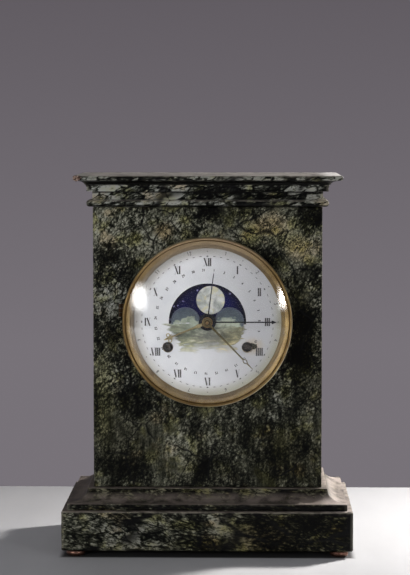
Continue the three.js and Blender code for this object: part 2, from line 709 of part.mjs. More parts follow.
// Hands, drawn pointing to twelve and turned to their rest angles
function hand(name, material, points, holes, hubRadius, pipe, back, angle) {
  const blade = flat(outlined(points, ...holes), back, HAND_THICKNESS);
  const hub = rod(hubRadius, back - HAND_THICKNESS, back, 16);
  const bore = rod(pipe + 0.25, back - 3, back + 3, NARROW);
  put(movement, name, material, cut(join(blade, hub), bore).rotateY(degrees(angle)));
}

const mirrored = (side) => [...side, ...side.toReversed().map((p) => point(-p.x, p.y))];
hand("month_hand", BLUED, mirrored([
  point(0.7, 0),
  point(0.5, MONTH_REACH - 4),
  point(1.9, MONTH_REACH - 4.4),
  point(0.2, MONTH_REACH),
]), [], 8.4, MONTH_PIPE, monthHandBack, MONTH_ANGLE);
hand("date_hand", BLUED, mirrored([
  point(0.6, 0),
  point(0.4, DATE_REACH - 2),
  point(0.15, DATE_REACH),
]), [], 6.8, DATE_PIPE, dateHandBack, DATE_ANGLE);
const hourEyes = [-1, 1].map((side) => circle(1.2, 8, side * 2.7, HOUR_REACH - 5.5));
hand("hour_hand", GILT, mirrored([
  point(1.3, 0),
  point(2, 9.5),
  point(0.8, 14),
  point(0.8, HOUR_REACH - 10.4),
  point(3.4, HOUR_REACH - 8),
  point(4.9, HOUR_REACH - 5.6),
  point(3.4, HOUR_REACH - 3.1),
  point(1.1, HOUR_REACH - 3.2),
  point(0.3, HOUR_REACH),
]), hourEyes, 5.4, HOUR_PIPE, hourHandBack, HOUR_ANGLE);
const minuteEye = mirrored([
  point(0.3, MINUTE_REACH - 12.2),
  point(1.4, MINUTE_REACH - 10.8),
  point(0.3, MINUTE_REACH - 9.4),
]);
hand("minute_hand", GILT, mirrored([
  point(1.2, 0),
  point(0.7, MINUTE_REACH - 14),
  point(2.5, MINUTE_REACH - 10.8),
  point(0.7, MINUTE_REACH - 8),
  point(0.3, MINUTE_REACH),
]), [minuteEye], 4.1, MINUTE_PIPE, minuteHandBack, MINUTE_ANGLE);
const nutBack = minuteHandBack - HAND_THICKNESS - 0.5;
put(movement, "hand_nut", GILT, turned([
  [ARBOR + 0.15, nutBack],
  [3, nutBack],
  [2.8, nutBack - 1.2],
  [1.9, nutBack - 2.2],
  [ARBOR + 0.15, nutBack - 2.4],
], 16));

// Plates: the front one with its pillars and the stud of the minute wheel
const pivotHole = (place) => circle(PIVOT + RUN, 6, place.x, place.z);
const clickAt = (side) => ({ x: side * (WIND_X + CLICK_OFF.x), z: WIND_Z + CLICK_OFF.z });
const windingHole = (place) => circle(WINDING_ARBOR + RUN, NARROW, place.x, place.z);
const windingHoles = () => [GOING, STRIKE].map(windingHole);
const fastArbors = [SECOND, THIRD, ESCAPE, PIN_WHEEL, FLY];
put(movement, "front_plate", BRASS, join(
  flat(
    outlined(
      circle(PLATE_RADIUS, WIDE),
      circle(MINUTE_PIPE + RUN, 12),
      circle(1 + RUN, 8, CALENDAR.x, CALENDAR.z),
      ...windingHoles(),
      ...[...fastArbors, COUNT, ANCHOR, HAMMER_AT, clickAt(1), clickAt(-1)].map(pivotHole),
    ),
    FRONT_PLATE,
    PLATE_THICKNESS,
  ),
  ...PILLARS.map(([x, z]) => rod(PILLAR_RADIUS, FRONT_PLATE - 0.5, BACK_PLATE - SEAT, 10).translate(x, 0, z)),
  rod(STUD_RADIUS, HOUR_LEVEL - 2.6, FRONT_PLATE - 0.5).translate(MINUTE.x, 0, MINUTE.z),
));

const bellRim = PLATE_REAR + BELL_BEHIND_PLATE;
const bellTop = bellRim + BELL_DEPTH;
put(movement, "back_plate", BRASS, join(
  flat(
    outlined(
      circle(PLATE_RADIUS, WIDE),
      circle(ARBOR + RUN, 10),
      ...windingHoles(),
      ...fastArbors.map(pivotHole),
      ...[COUNT, ANCHOR, HAMMER_AT].map((place) => circle(ARBOR + RUN, 10, place.x, place.z)),
    ),
    PLATE_REAR,
    PLATE_THICKNESS,
  ),
  rod(BELL_POST, PLATE_REAR - 0.5, bellTop + 2, 10).translate(BELL_AT.x, 0, BELL_AT.z),
));

// Barrels, mainsprings, winding arbors and clicks of both sides
const drumFront = FRONT_PLATE + 3;
const drumBack = drumFront + BARREL_LENGTH;
const barrelTeethBack = drumBack + 2.5;
const drumBore = WINDING_ARBOR + 0.5;
function barrel(outline) {
  const drum = turned([
    [drumBore, drumFront],
    [BARREL_RADIUS, drumFront],
    [BARREL_RADIUS, drumBack + 1],
    [BARREL_RADIUS - 1.5, drumBack + 1],
    [BARREL_RADIUS - 1.5, drumFront + 1.5],
    [drumBore, drumFront + 1.5],
  ], MEDIUM);
  return join(drum, flat(outlined(outline, circle(drumBore, NARROW)), barrelTeethBack, 2.5));
}

function mainspring() {
  const turns = 3;
  const steps = 11 * turns;
  const inner = WINDING_ARBOR + 3;
  const outer = BARREL_RADIUS - 2.6;
  const wound = (shift) => Array.from({ length: steps + 1 }, (_, i) => {
    const radius = inner + ((outer - inner) * i) / steps + shift;
    return polar(radius, (2 * Math.PI * turns * i) / steps);
  });
  return flat(outlined([...wound(0.5), ...wound(-0.5).reverse()]), drumBack - 0.8, BARREL_LENGTH - 3.4);
}

function windingArbor(side) {
  const square = block(-2.2, 2.2, FACE + 1, RATCHET_LEVEL, -2.2, 2.2);
  const ratchet = sawOutline(16, 8.5, 7).map((p) => point(side * p.x, p.y));
  return join(
    square,
    rod(WINDING_ARBOR, RATCHET_LEVEL - 2, PLATE_REAR + 1, NARROW),
    flat(outlined(side > 0 ? ratchet : ratchet.reverse()), RATCHET_LEVEL, 1.4),
  );
}

function click(side) {
  const outline = [[2.33, 8.69], [9.7, 5], [12.4, 5.4], [12.8, 7.6], [11.3, 9.2], [3, 10.4]];
  const lever = outline.map(([x, z]) => point(side * (x - CLICK_OFF.x), z - CLICK_OFF.z));
  const pivot = rod(PIVOT, RATCHET_LEVEL - 0.7, FRONT_PLATE - 0.4);
  return join(flat(outlined(lever), RATCHET_LEVEL, 1.4), pivot);
}

const secondPhase = 0;
const barrelPhase = meshPhase(
  { ...SECOND, teeth: SECOND_LEAVES, phase: secondPhase },
  { ...GOING, teeth: BARREL_TEETH },
);
const countPhase = 0;
const strikePhase = meshPhase(
  { ...COUNT, teeth: COUNT_LEAVES, phase: countPhase },
  { ...STRIKE, teeth: STRIKE_TEETH },
);
for (const [name, side, outline] of [
  ["going", 1, wheelOutline(BARREL_TEETH, BARREL_TOOTH, barrelPhase)],
  ["strike", -1, wheelOutline(STRIKE_TEETH, STRIKE_TOOTH, strikePhase)],
]) {
  const place = side > 0 ? GOING : STRIKE;
  const clickPlace = clickAt(side);
  put(movement, `${name}_barrel`, BRASS, barrel(outline), place.x, place.z);
  put(movement, `${name}_mainspring`, STEEL, mainspring(), place.x, place.z);
  put(movement, `${name}_winding_arbor`, STEEL, windingArbor(side), place.x, place.z);
  put(movement, `${name}_click`, STEEL, click(side), clickPlace.x, clickPlace.z);
}

// Going train
const pinionLevel = barrelTeethBack + 1;
const slowLevel = pinionLevel + 3.5;
const centreLevel = FRONT_PLATE + 7.5;
const thirdLevel = FRONT_PLATE + 17.5;
const escapeLevel = BACK_PLATE - 4.6;
const arborEnds = [FRONT_PLATE - PLATE_THICKNESS + 0.4, PLATE_REAR - 0.4];

function fastArbor(radius) {
  return join(rod(PIVOT, ...arborEnds, SLIM), rod(radius, FRONT_PLATE + 0.6, BACK_PLATE - 0.6, SLIM));
}

const secondWheelPhase = meshPhase(
  { ...CENTRE, teeth: CENTRE_LEAVES, phase: 0 },
  { ...SECOND, teeth: SECOND_TEETH },
);
put(movement, "second_wheel", BRASS, join(
  fastArbor(ARBOR),
  flat(outlined(pinionOutline(SECOND_LEAVES, BARREL_TOOTH, secondPhase)), pinionLevel, 4.5),
  flat(outlined(wheelOutline(SECOND_TEETH, SECOND_TOOTH, secondWheelPhase)), slowLevel, 1.5),
), SECOND.x, SECOND.z);

put(movement, "centre_wheel", BRASS, join(
  rod(ARBOR, nutBack - 2.9, PLATE_REAR - 0.4),
  flat(outlined(wheelOutline(CENTRE_TEETH, CENTRE_TOOTH, 0)), centreLevel, 1.5),
  flat(outlined(pinionOutline(CENTRE_LEAVES, SECOND_TOOTH, 0)), slowLevel + 1.5, 4.5),
));

const thirdPhase = meshPhase({ ...CENTRE, teeth: CENTRE_TEETH, phase: 0 }, { ...THIRD, teeth: THIRD_LEAVES });
put(movement, "third_wheel", BRASS, join(
  fastArbor(PIVOT),
  flat(outlined(pinionOutline(THIRD_LEAVES, CENTRE_TOOTH, thirdPhase)), centreLevel + 1, 3.5),
  flat(outlined(wheelOutline(THIRD_TEETH, THIRD_TOOTH, 0)), thirdLevel, 1.5),
), THIRD.x, THIRD.z);

const escapePhase = meshPhase(
  { ...THIRD, teeth: THIRD_TEETH, phase: 0 },
  { ...ESCAPE, teeth: ESCAPE_LEAVES },
);
put(movement, "escape_wheel", BRASS, join(
  fastArbor(PIVOT),
  flat(outlined(pinionOutline(ESCAPE_LEAVES, THIRD_TOOTH, escapePhase)), thirdLevel + 1, 3.5),
  flat(outlined(sawOutline(ESCAPE_TEETH, ESCAPE_RADIUS, ESCAPE_RADIUS - 1.8)), escapeLevel, 1.4),
), ESCAPE.x, ESCAPE.z);

// Anchor with its arbor and the crutch behind the back plate
const crutchLevel = PLATE_REAR + 3.2;
const forkInner = 1.5;
const pallets = mirrored([
  point(2.2, -1.6), point(6.25, -3.6), point(8.1, -4.9), point(9.6, -3.4), point(5.5, 1.2), point(2, 2.6),
]);
put(movement, "anchor", STEEL, join(
  flat(outlined(pallets), escapeLevel, 1.4),
  rod(PIVOT, FRONT_PLATE - PLATE_THICKNESS + 0.4, escapeLevel, 8),
  rod(1, escapeLevel - 1, crutchLevel, 8),
  flat(outlined(circle(3, 12)), crutchLevel, 1.2),
  block(-1.5, 1.5, crutchLevel - 1.2, crutchLevel, -CRUTCH_LENGTH, 0),
  block(-forkInner - 1.2, forkInner + 1.2, crutchLevel - 1.2, crutchLevel, -CRUTCH_LENGTH, 4 - CRUTCH_LENGTH),
  ...[-1, 1].map((side) =>
    block(side * forkInner - (side < 0 ? 1.2 : 0), side * forkInner + (side > 0 ? 1.2 : 0),
      crutchLevel - 0.4, PENDULUM_LEVEL + 2, -CRUTCH_LENGTH, 4 - CRUTCH_LENGTH)),
), ANCHOR.x, ANCHOR.z);

// Suspension and pendulum, heights from the swing axis
const springTop = 9.5;
const springFoot = -6.5;
put(movement, "suspension_cock", BRASS, cut(
  block(-5, 5, PLATE_REAR, PENDULUM_LEVEL + 3, 4, 13.5),
  block(-3.2, 3.2, PENDULUM_LEVEL - 0.4, PENDULUM_LEVEL + 0.4, 3, 10),
), ANCHOR.x, ANCHOR.z);
put(movement, "suspension_spring", STEEL,
  block(-2.5, 2.5, PENDULUM_LEVEL - 0.15, PENDULUM_LEVEL + 0.15, springFoot, springTop), ANCHOR.x, ANCHOR.z);
const bobFoot = -PENDULUM_LENGTH - BOB_RADIUS;
put(movement, "pendulum_rod", STEEL, join(
  block(-3, 3, PENDULUM_LEVEL - 1.5, PENDULUM_LEVEL + 1.5, springFoot - 6, springFoot - 0.2),
  upright(ROD_RADIUS, bobFoot - 6, springFoot - 5).translate(0, PENDULUM_LEVEL, 0),
  upright(3.5, bobFoot - 3.4, bobFoot - 0.2, 12).translate(0, PENDULUM_LEVEL, 0),
), ANCHOR.x, ANCHOR.z);
const bobHalf = BOB_THICKNESS / 2;
const bobEdge = 0.8;
const bob = turned([
  [0, -bobHalf],
  [BOB_RADIUS - 14, 0.3 - bobHalf],
  [BOB_RADIUS - 6, 1.9 - bobHalf],
  [BOB_RADIUS, -bobEdge],
  [BOB_RADIUS, bobEdge],
  [BOB_RADIUS - 6, bobHalf - 1.9],
  [BOB_RADIUS - 14, bobHalf - 0.3],
  [0, bobHalf],
], MEDIUM).translate(0, PENDULUM_LEVEL, -PENDULUM_LENGTH);
const bobTop = BOB_RADIUS - PENDULUM_LENGTH;
const rodHole = upright(ROD_RADIUS + 0.3, bobFoot - 2, bobTop + 2).translate(0, PENDULUM_LEVEL, 0);
put(movement, "pendulum_bob", BRASS, cut(bob, rodHole), ANCHOR.x, ANCHOR.z);

// Striking train
const countWheelPhase = 0;
const pinPhase = meshPhase(
  { ...COUNT, teeth: COUNT_TEETH, phase: countWheelPhase },
  { ...PIN_WHEEL, teeth: PIN_LEAVES },
);
const flyPhase = meshPhase({ ...PIN_WHEEL, teeth: PIN_TEETH, phase: 0 }, { ...FLY, teeth: FLY_LEAVES });

// Rim of the count wheel: one notch before each hour, the land between two as long as the hour's blows
function countOutline(radius, depth) {
  const blow = (2 * Math.PI) / 90;
  const points = [];
  let at = 0;
  for (let hour = 1; hour <= 12; hour += 1) {
    const land = (hour + 1) * blow;
    points.push(...arc(radius - depth, at, at + 0.6 * blow, 1));
    points.push(...arc(radius, at + 0.6 * blow, at + land, Math.ceil(hour / 3)));
    at += land;
  }
  return points;
}
put(movement, "count_arbor", BRASS, join(
  fastArbor(ARBOR),
  flat(outlined(pinionOutline(COUNT_LEAVES, STRIKE_TOOTH, countPhase)), pinionLevel, 4.5),
  flat(outlined(wheelOutline(COUNT_TEETH, COUNT_TOOTH, countWheelPhase)), slowLevel, 1.5),
  rod(ARBOR, BACK_PLATE - 1, PLATE_REAR + 2.2, 8),
  flat(outlined(countOutline(COUNT_RIM, 2)), PLATE_REAR + 1.8, 1.2),
), COUNT.x, COUNT.z);

const pinWheelLevel = FRONT_PLATE + 11.5;
const liftingPins = Array.from({ length: LIFTING_PINS }, (_, i) => {
  const at = polar(PIN_CIRCLE, (2 * Math.PI * i) / LIFTING_PINS);
  return rod(0.7, pinWheelLevel - 0.5, pinWheelLevel + 2.8, 4).translate(at.x, 0, at.y);
});
put(movement, "pin_wheel", BRASS, join(
  fastArbor(PIVOT),
  flat(outlined(pinionOutline(PIN_LEAVES, COUNT_TOOTH, pinPhase)), slowLevel + 1.5, 4.5),
  flat(outlined(wheelOutline(PIN_TEETH, PIN_TOOTH, 0)), pinWheelLevel, 1.5),
  ...liftingPins,
), PIN_WHEEL.x, PIN_WHEEL.z);
put(movement, "fly", STEEL, join(
  fastArbor(PIVOT),
  flat(outlined(pinionOutline(FLY_LEAVES, PIN_TOOTH, flyPhase)), pinWheelLevel + 1, 3.5),
  block(-FLY_WIDTH / 2, FLY_WIDTH / 2, FRONT_PLATE + 19, FRONT_PLATE + 19 + FLY_LENGTH, -0.4, 0.4),
), FLY.x, FLY.z);

// Hammer and bell: the hammer rests clear of the bell, its tail clear of the lifting pins
const tailReach = Math.hypot(PIN_WHEEL.x - HAMMER_AT.x, PIN_WHEEL.z - HAMMER_AT.z) - PIN_CIRCLE - 1.2;
const tailTurn = Math.atan2(PIN_WHEEL.z - HAMMER_AT.z, PIN_WHEEL.x - HAMMER_AT.x);
const tail = [[0, -1.4], [tailReach, -0.7], [tailReach, 0.7], [0, 1.4]].map(([x, z]) =>
  point(x, z).rotateAround(point(0, 0), tailTurn),
);
const headX = BELL_AT.x - BELL_RADIUS - HAMMER_HEAD - 1.2 - HAMMER_AT.x;
const headZ = BELL_AT.z - HAMMER_AT.z;
const hammerLevel = PLATE_REAR + 5;
const hammerArm = [
  point(-1.6, 1.6),
  point(headX - 1.2, headZ),
  point(headX + 1.2, headZ),
  point(1.6, 1.6),
];
put(movement, "hammer", STEEL, join(
  rod(PIVOT, FRONT_PLATE - PLATE_THICKNESS + 0.4, FRONT_PLATE + 1, 8),
  rod(ARBOR, FRONT_PLATE + 0.6, hammerLevel, 8),
  flat(outlined(tail), pinWheelLevel + 2.5, 2),
  flat(outlined(hammerArm), hammerLevel, 2),
  rod(HAMMER_HEAD, hammerLevel - 2, PLATE_REAR + 17, 12).translate(headX, 0, headZ),
), HAMMER_AT.x, HAMMER_AT.z);
const bellBore = BELL_POST + 0.4;
const bellCurve = (radius, share, thick) => [
  radius * BELL_RADIUS - thick,
  bellRim + share * BELL_DEPTH - thick,
];
put(movement, "bell", BRASS, turned([
  [bellBore, bellTop],
  bellCurve(0.4, 0.98, 0),
  bellCurve(0.7, 0.86, 0),
  bellCurve(0.9, 0.55, 0),
  [BELL_RADIUS, bellRim],
  [BELL_RADIUS - 1.4, bellRim],
  bellCurve(0.9, 0.55, 1.2),
  bellCurve(0.7, 0.86, 1.2),
  bellCurve(0.4, 0.98, 1.4),
  [bellBore, bellTop - 1.5],
], MEDIUM), BELL_AT.x, BELL_AT.z);

// Back ring, straps, and the hinged back door with its pin
const backFlange = BACK + CEMENT + FLANGE_THICKNESS;
const doorFront = backFlange + SEAT;
const doorHingeY = doorFront + 1.6;
const doorHingeX = -(FLANGE_RADIUS + KNUCKLE_RADIUS + HINGE_ROOM);
const doorLow = -KNUCKLE_LENGTH / 2;
const doorHigh = KNUCKLE_LENGTH / 2;
const doorLowKnuckle = [doorLow - SEAT - KNUCKLE_LENGTH, doorLow - SEAT];
const doorHighKnuckle = [doorHigh + SEAT, doorHigh + SEAT + KNUCKLE_LENGTH];
const backLug = [backFlange - 1.2, doorHingeY];
put(movement, "back_ring", BRASS, cut(
  join(
    wallRing(backFlange, BACK + CEMENT, BACK - RING_DEPTH),
    knuckle(doorHingeX, doorHingeY, FLANGE_RADIUS, ...doorLowKnuckle, ...backLug),
    knuckle(doorHingeX, doorHingeY, FLANGE_RADIUS, ...doorHighKnuckle, ...backLug),
  ),
  pinHole(doorHingeX, doorHingeY, doorLowKnuckle[0], doorHighKnuckle[1]),
  rod(FLANGE_RADIUS + 0.4, doorFront - 0.2, doorFront + 6, WIDE),
));
const doorPin = upright(PIN_RADIUS, doorLowKnuckle[0] - 0.6, doorHighKnuckle[1] + 0.6);
put(movement, "back_door_hinge_pin", STEEL, doorPin.translate(doorHingeX, doorHingeY, 0));
const doorDisc = turned([
  [0, doorFront + 2],
  [FLANGE_RADIUS - 10, doorFront + 2],
  [FLANGE_RADIUS - 9, doorFront],
  [FLANGE_RADIUS - 0.4, doorFront],
  [FLANGE_RADIUS - 0.4, doorFront + 1.4],
  [FLANGE_RADIUS - 8.4, doorFront + 1.4],
  [FLANGE_RADIUS - 9.4, doorFront + 3.4],
  [0, doorFront + 3.4],
], WIDE);
const doorKnob = turned([
  [0, doorFront + 1],
  [2, doorFront + 1],
  [2, doorFront + 4],
  [4, doorFront + 6],
  [3, doorFront + 8],
  [0, doorFront + 8.4],
], 12).translate(FLANGE_RADIUS - 4.6, 0, 0);
put(movement, "back_door", BRASS, cut(
  join(
    doorDisc,
    knuckle(doorHingeX, doorHingeY, FLANGE_RADIUS, doorLow, doorHigh, doorFront + 0.2, doorHingeY + 1.4),
    doorKnob,
  ),
  pinHole(doorHingeX, doorHingeY, doorLow, doorHigh),
));

const strapFront = DIAL_PLATE + SEAT;
const strapBack = BACK - 2;
for (const [name, side] of [["strap_left", -1], ["strap_right", 1]]) {
  const ends = [side * (RING_INNER - 2.6), side * (RING_INNER - 0.6)].sort((a, b) => a - b);
  put(movement, name, BRASS, block(...ends, strapFront, strapBack, -5, 5));
}

export default clock;
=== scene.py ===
import itertools
import json
import math

import bmesh
import bpy
import numpy as np
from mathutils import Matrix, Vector
from mathutils.geometry import delaunay_2d_cdt


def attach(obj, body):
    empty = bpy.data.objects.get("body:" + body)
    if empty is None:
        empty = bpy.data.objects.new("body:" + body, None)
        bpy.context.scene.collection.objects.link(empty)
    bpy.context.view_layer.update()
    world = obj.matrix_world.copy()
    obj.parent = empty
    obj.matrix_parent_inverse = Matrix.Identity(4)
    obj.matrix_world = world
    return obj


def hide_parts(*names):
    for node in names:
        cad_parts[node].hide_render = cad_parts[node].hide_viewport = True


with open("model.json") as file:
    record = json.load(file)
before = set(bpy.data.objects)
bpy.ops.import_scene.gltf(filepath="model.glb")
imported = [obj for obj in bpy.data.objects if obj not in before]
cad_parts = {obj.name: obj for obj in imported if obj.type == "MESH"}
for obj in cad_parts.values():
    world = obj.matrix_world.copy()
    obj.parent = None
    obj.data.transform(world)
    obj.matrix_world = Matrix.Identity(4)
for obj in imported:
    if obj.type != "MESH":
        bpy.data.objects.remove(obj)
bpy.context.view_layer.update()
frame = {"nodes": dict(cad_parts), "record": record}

# Marble mantel clock with moon and calendar dial
# Sizes are in millimetres until piece() makes them metres; the front faces -Y
MM = 0.001
TURN = 2 * math.pi
QUARTER = math.pi / 2

# Stone case
BODY_X = 113.2
BODY_Y = 61.6
BODY_FOOT = 65.1
BODY_HEIGHT = 278.2
FRONT_WALL = 20.0
BACK_WALL = 18.0
SIDE_WALL = 18.0
CEMENT = 0.3
PLINTH_OUT = 30.2
PLINTH_FOOT = 6.4
PLINTH_HEIGHT = 39.0
PLINTH_ARRIS = 0.9
BASE_FOOT = 45.7
BASE_OUT = 24.8
FILLET_HEIGHT = 6.4
COVE_HEIGHT = 12.7
LEDGE = 5.7
FRIEZE_FOOT = 343.6
BAND_OUT = 6.2
BAND_HEIGHT = 7.0
FRIEZE_HEIGHT = 8.2
BED_OUT = 7.9
BED_HEIGHT = 7.0
TOP_FOOT = 366.1
TOP_OUT = 19.4
TOP_COVE = 3.2
TOP_EDGE = 5.2
TOP_HIGH = TOP_COVE + TOP_EDGE
BREAK_DEPTH = 7.0
OPENING = 78.4
FOOT_X = 130.0
FOOT_Y = 78.4
FOOT_RADIUS = 9.6
FOOT_HEIGHT = 6.4

# Steps of the stone's grid, and the grain sizes of its wear
COURSE_STEP = 2.0
ROW_STEP = 6.0
NEAR_CORNER = (0.5, 1.2, 2.4)
RUB_GRAIN = 9.0
CHIP_GRAIN = 5.5
CRUMB_GRAIN = 2.2
ARRIS_GRAIN = 7.0
ARRIS_WIDTH = 0.55
WEAR_DEPTH = 0.55

# Dial, bezel and hands, with levels along Y and angles clockwise from twelve
DIAL_Z = 230.1
FACE = -61.6
BACK = 61.6
FLANGE_FRONT = -64.6
RING_OUTER = 78.0
RING_INNER = 76.4
RING_DEPTH = 16.0
FLANGE_RADIUS = 82.6
BEZEL_RADIUS = 83.8
BEZEL_BACK = -64.9
BEZEL_FRONT = -73.5
GROOVE_RADIUS = 80.6
RABBET = 81.6
LIP = 80.2
GLASS_RADIUS = 81.2
GLASS_EDGE = -71.4
GLASS_RISE = 13.5
GLASS_THICKNESS = 1.8
SIGHT_RADIUS = 72.6
SLOPE_BACK = -64.6
SLOPE_FRONT = -69.2
DIAL_RADIUS = 76.0
DIAL_CROWN = -66.6
DIAL_RISE = 3.0
DIAL_THICKNESS = 2.0
DIAL_HOLE = 6.0
MOON_OPENING = 38.0
MOON_DROP = 2.0
MOON_RADIUS = 13.95
MOON_ANGLE = 8.0
HUMP_AT = 21.6
HUMP_RADIUS = 14.4
WIND_X = 39.0
WIND_Z = -25.0
WIND_HOLE = 5.3
HINGE_X = -86.1
HINGE_Y = -66.5
HINGE_UP = 11.5
KNUCKLE_RADIUS = 1.7
KNUCKLE_LENGTH = 4.2
SEAT = 0.3
HOUR_RING = 59.0
MINUTE_RING = 64.8
DATE_RING = 51.2
MONTH_RING = 69.6
FIGURE_HEIGHT = 7.8
DATE_HEIGHT = 2.2
MONTH_HEIGHT = 3.4
PAINT_HEIGHT = 0.07
PAINT_SINK = 0.08
MONTH_BACK = -68.0
HAND_STEP = 1.8
HAND_THICKNESS = 0.9
MINUTE_ANGLE = 135.8
HOUR_ANGLE = 248
DATE_ANGLE = 7.3
MONTH_ANGLE = 90

# Back
BACK_FLANGE = 64.6
DOOR_FRONT = 64.9
DOOR_HINGE_X = -84.9
DOOR_HINGE_Y = 66.5
BELL_X = -14.0
BELL_Z = 242.1
BELL_RADIUS = 33.0
BELL_NECK = 2.6
BELL_RIM = 13.4
BELL_TOP = 33.4

# Camera of the photograph: place in metres, tilt and turn in degrees, lens for a 36 mm long side
CAMERA_AT = (0.0416, -2.2026, 0.4219)
CAMERA_TILT = -4.22
CAMERA_TURN = 1.18
CAMERA_LENS = 136.2
CAMERA_SENSOR = 36


# Numbers and noise
def lattice(x, y, z, seed):
    """A repeatable number from 0 to 1 per lattice point: the fraction of a large sine of its indices."""
    return np.modf(np.abs(np.sin(x * 127.1 + y * 311.7 + z * 74.7 + seed * 53.3) * 43758.5453))[0]


def grain(points, size, seed):
    """Smooth value noise: a cell's eight lattice numbers, blended across the cell by smoothstep."""
    cell = np.asarray(points, float) / size
    base = np.floor(cell)
    part = cell - base
    part = part * part * (3 - 2 * part)
    total = np.zeros(cell.shape[:-1])
    for corner in itertools.product((0, 1), repeat=3):
        weight = np.prod(np.where(corner, part, 1 - part), axis=-1)
        at = base + corner
        total += weight * lattice(at[..., 0], at[..., 1], at[..., 2], seed)
    return total


def eased(corners, radius, steps=4, closed=True):
    """Each corner becomes a quadratic curve from a radius before it to a radius after it.

    On a short side the curve takes just under half of it, and an open run keeps its two ends."""
    corners = np.asarray(corners, float)
    before = np.roll(corners, 1, 0) - corners
    after = np.roll(corners, -1, 0) - corners
    reach_in = np.linalg.norm(before, axis=1, keepdims=True)
    reach_out = np.linalg.norm(after, axis=1, keepdims=True)
    start = corners + before * np.minimum(radius / reach_in, 0.48)
    end = corners + after * np.minimum(radius / reach_out, 0.48)
    if not closed:
        start[[0, -1]] = corners[[0, -1]]
        end[[0, -1]] = corners[[0, -1]]
    t = np.linspace(0, 1, steps)[None, :, None]
    curve = (1 - t) ** 2 * start[:, None] + 2 * t * (1 - t) * corners[:, None] + t**2 * end[:, None]
    return curve.reshape(-1, corners.shape[1])


# Meshes
def grid_faces(rows, columns, around_rows=False, around_columns=False):
    """Quads between neighbouring points of a grid, joined end to end where it goes around."""
    r = np.arange(rows if around_rows else rows - 1)
    c = np.arange(columns if around_columns else columns - 1)
    r, c = np.meshgrid(r, c, indexing="ij")
    r_next = (r + 1) % rows
    c_next = (c + 1) % columns
    quads = [r * columns + c, r * columns + c_next, r_next * columns + c_next, r_next * columns + c]
    return np.stack(quads, -1).reshape(-1, 4)


def joined(*surfaces):
    """Several (points, faces) surfaces as one, each face's numbers raised by the points before it."""
    points = []
    faces = []
    shift = 0
    for p, f in surfaces:
        points.append(np.asarray(p, float).reshape(-1, 3))
        faces += [(np.asarray(face) + shift).tolist() for face in f]
        shift += len(points[-1])
    return np.concatenate(points), faces


def piece(name, surface, body, slot, finish, crease=32, added=False, **fields):
    """A mesh object from a surface in millimetres: doubles merged, faces outward, riding on its body.

    It takes the place of the CAD node of its name, unless it is an added piece."""
    points, faces = surface
    mesh = bpy.data.meshes.new(name)
    metres = np.asarray(points).reshape(-1, 3) * MM
    mesh.from_pydata(metres.tolist(), [], np.asarray(faces, object).tolist())
    for field, values in fields.items():
        layer = mesh.attributes.new(field, "FLOAT", "POINT")
        layer.data.foreach_set("value", np.asarray(values, np.float32).ravel())
    work = bmesh.new()
    work.from_mesh(mesh)
    bmesh.ops.remove_doubles(work, verts=work.verts, dist=2e-6)
    bmesh.ops.dissolve_degenerate(work, edges=work.edges, dist=1e-7)
    bmesh.ops.recalc_face_normals(work, faces=work.faces)
    work.to_mesh(mesh)
    work.free()
    mesh.shade_smooth()
    mesh.set_sharp_from_angle(angle=math.radians(crease))
    mesh.materials.append(finish)
    made = bpy.data.objects.new(name, mesh)
    bpy.context.scene.collection.objects.link(made)
    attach(made, body)
    if not added:
        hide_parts(name)
    return made


def turned(profile, x, z, sides=192, closed=True):
    """A profile of (radius, level) carried round an axis along Y through x, z."""
    profile = np.asarray(profile, float)
    angle = np.linspace(0, TURN, sides, endpoint=False)
    radius = profile[:, :1]
    level = np.broadcast_to(profile[:, 1:], (len(profile), sides))
    points = np.stack([x + radius * np.cos(angle), level, z + radius * np.sin(angle)], -1)
    return points.reshape(-1, 3), grid_faces(len(profile), sides, closed, True)


def turned_upright(profile, x, y, sides=48):
    """An open profile of (radius, height) carried round an upright axis through x, y.

    It is the turned surface with Y and Z exchanged."""
    points, faces = turned(profile, x, y, sides, closed=False)
    return points[:, [0, 2, 1]], faces


def edge_path(long_steps, short_steps, round_steps=3):
    """A rectangle with rounded corners, counter-clockwise, as shares of its half sides and outward ways.

    Each side runs straight, then its way turns by a quarter circle while the share stays at the corner."""
    shares = []
    ways = []
    sides = [(long_steps, (1, 0), (0, -1)), (short_steps, (0, 1), (1, 0)),
             (long_steps, (-1, 0), (0, 1)), (short_steps, (0, -1), (-1, 0))]
    for steps, along, out in sides:
        f = np.linspace(-1, 1, steps)[:, None]
        shares.append(f * np.array(along) + np.array(out))
        ways.append(np.repeat([out], steps, 0))
        corner = np.array(along) + np.array(out)
        a = np.linspace(0, QUARTER, round_steps + 2)[1:-1, None]
        ways.append(np.cos(a) * np.array(out) + np.sin(a) * np.array(along))
        shares.append(np.repeat([corner], round_steps, 0))
    return np.concatenate(shares).astype(float), np.concatenate(ways).astype(float)


def worn(points, inward, edge, reach, seed):
    """Edges rubbed and chipped: points near an edge go inward by a soft wear and by sparse chips of noise.

    The chips are where coarse and fine noise pass a threshold. The second result is how bare the edge is."""
    close = np.clip(1 - edge / reach, 0, 1)
    line = np.clip(1 - edge / ARRIS_WIDTH, 0, 1)
    soft = 0.35 * WEAR_DEPTH * close**2 * grain(points, RUB_GRAIN, seed)
    chips = np.clip(grain(points, CHIP_GRAIN, seed + 1) - 0.66, 0, 1) * 3.0
    crumbs = np.clip(grain(points, CRUMB_GRAIN, seed + 2) - 0.62, 0, 1) * 1.6
    amount = soft + WEAR_DEPTH * close * (chips + 0.5 * crumbs)
    bare = line * (1.5 * grain(points, ARRIS_GRAIN, seed + 3) - 0.1)
    wear = np.clip(bare + 0.8 * close**2 * (chips + crumbs), 0, 1)
    return points + inward * amount[..., None], wear


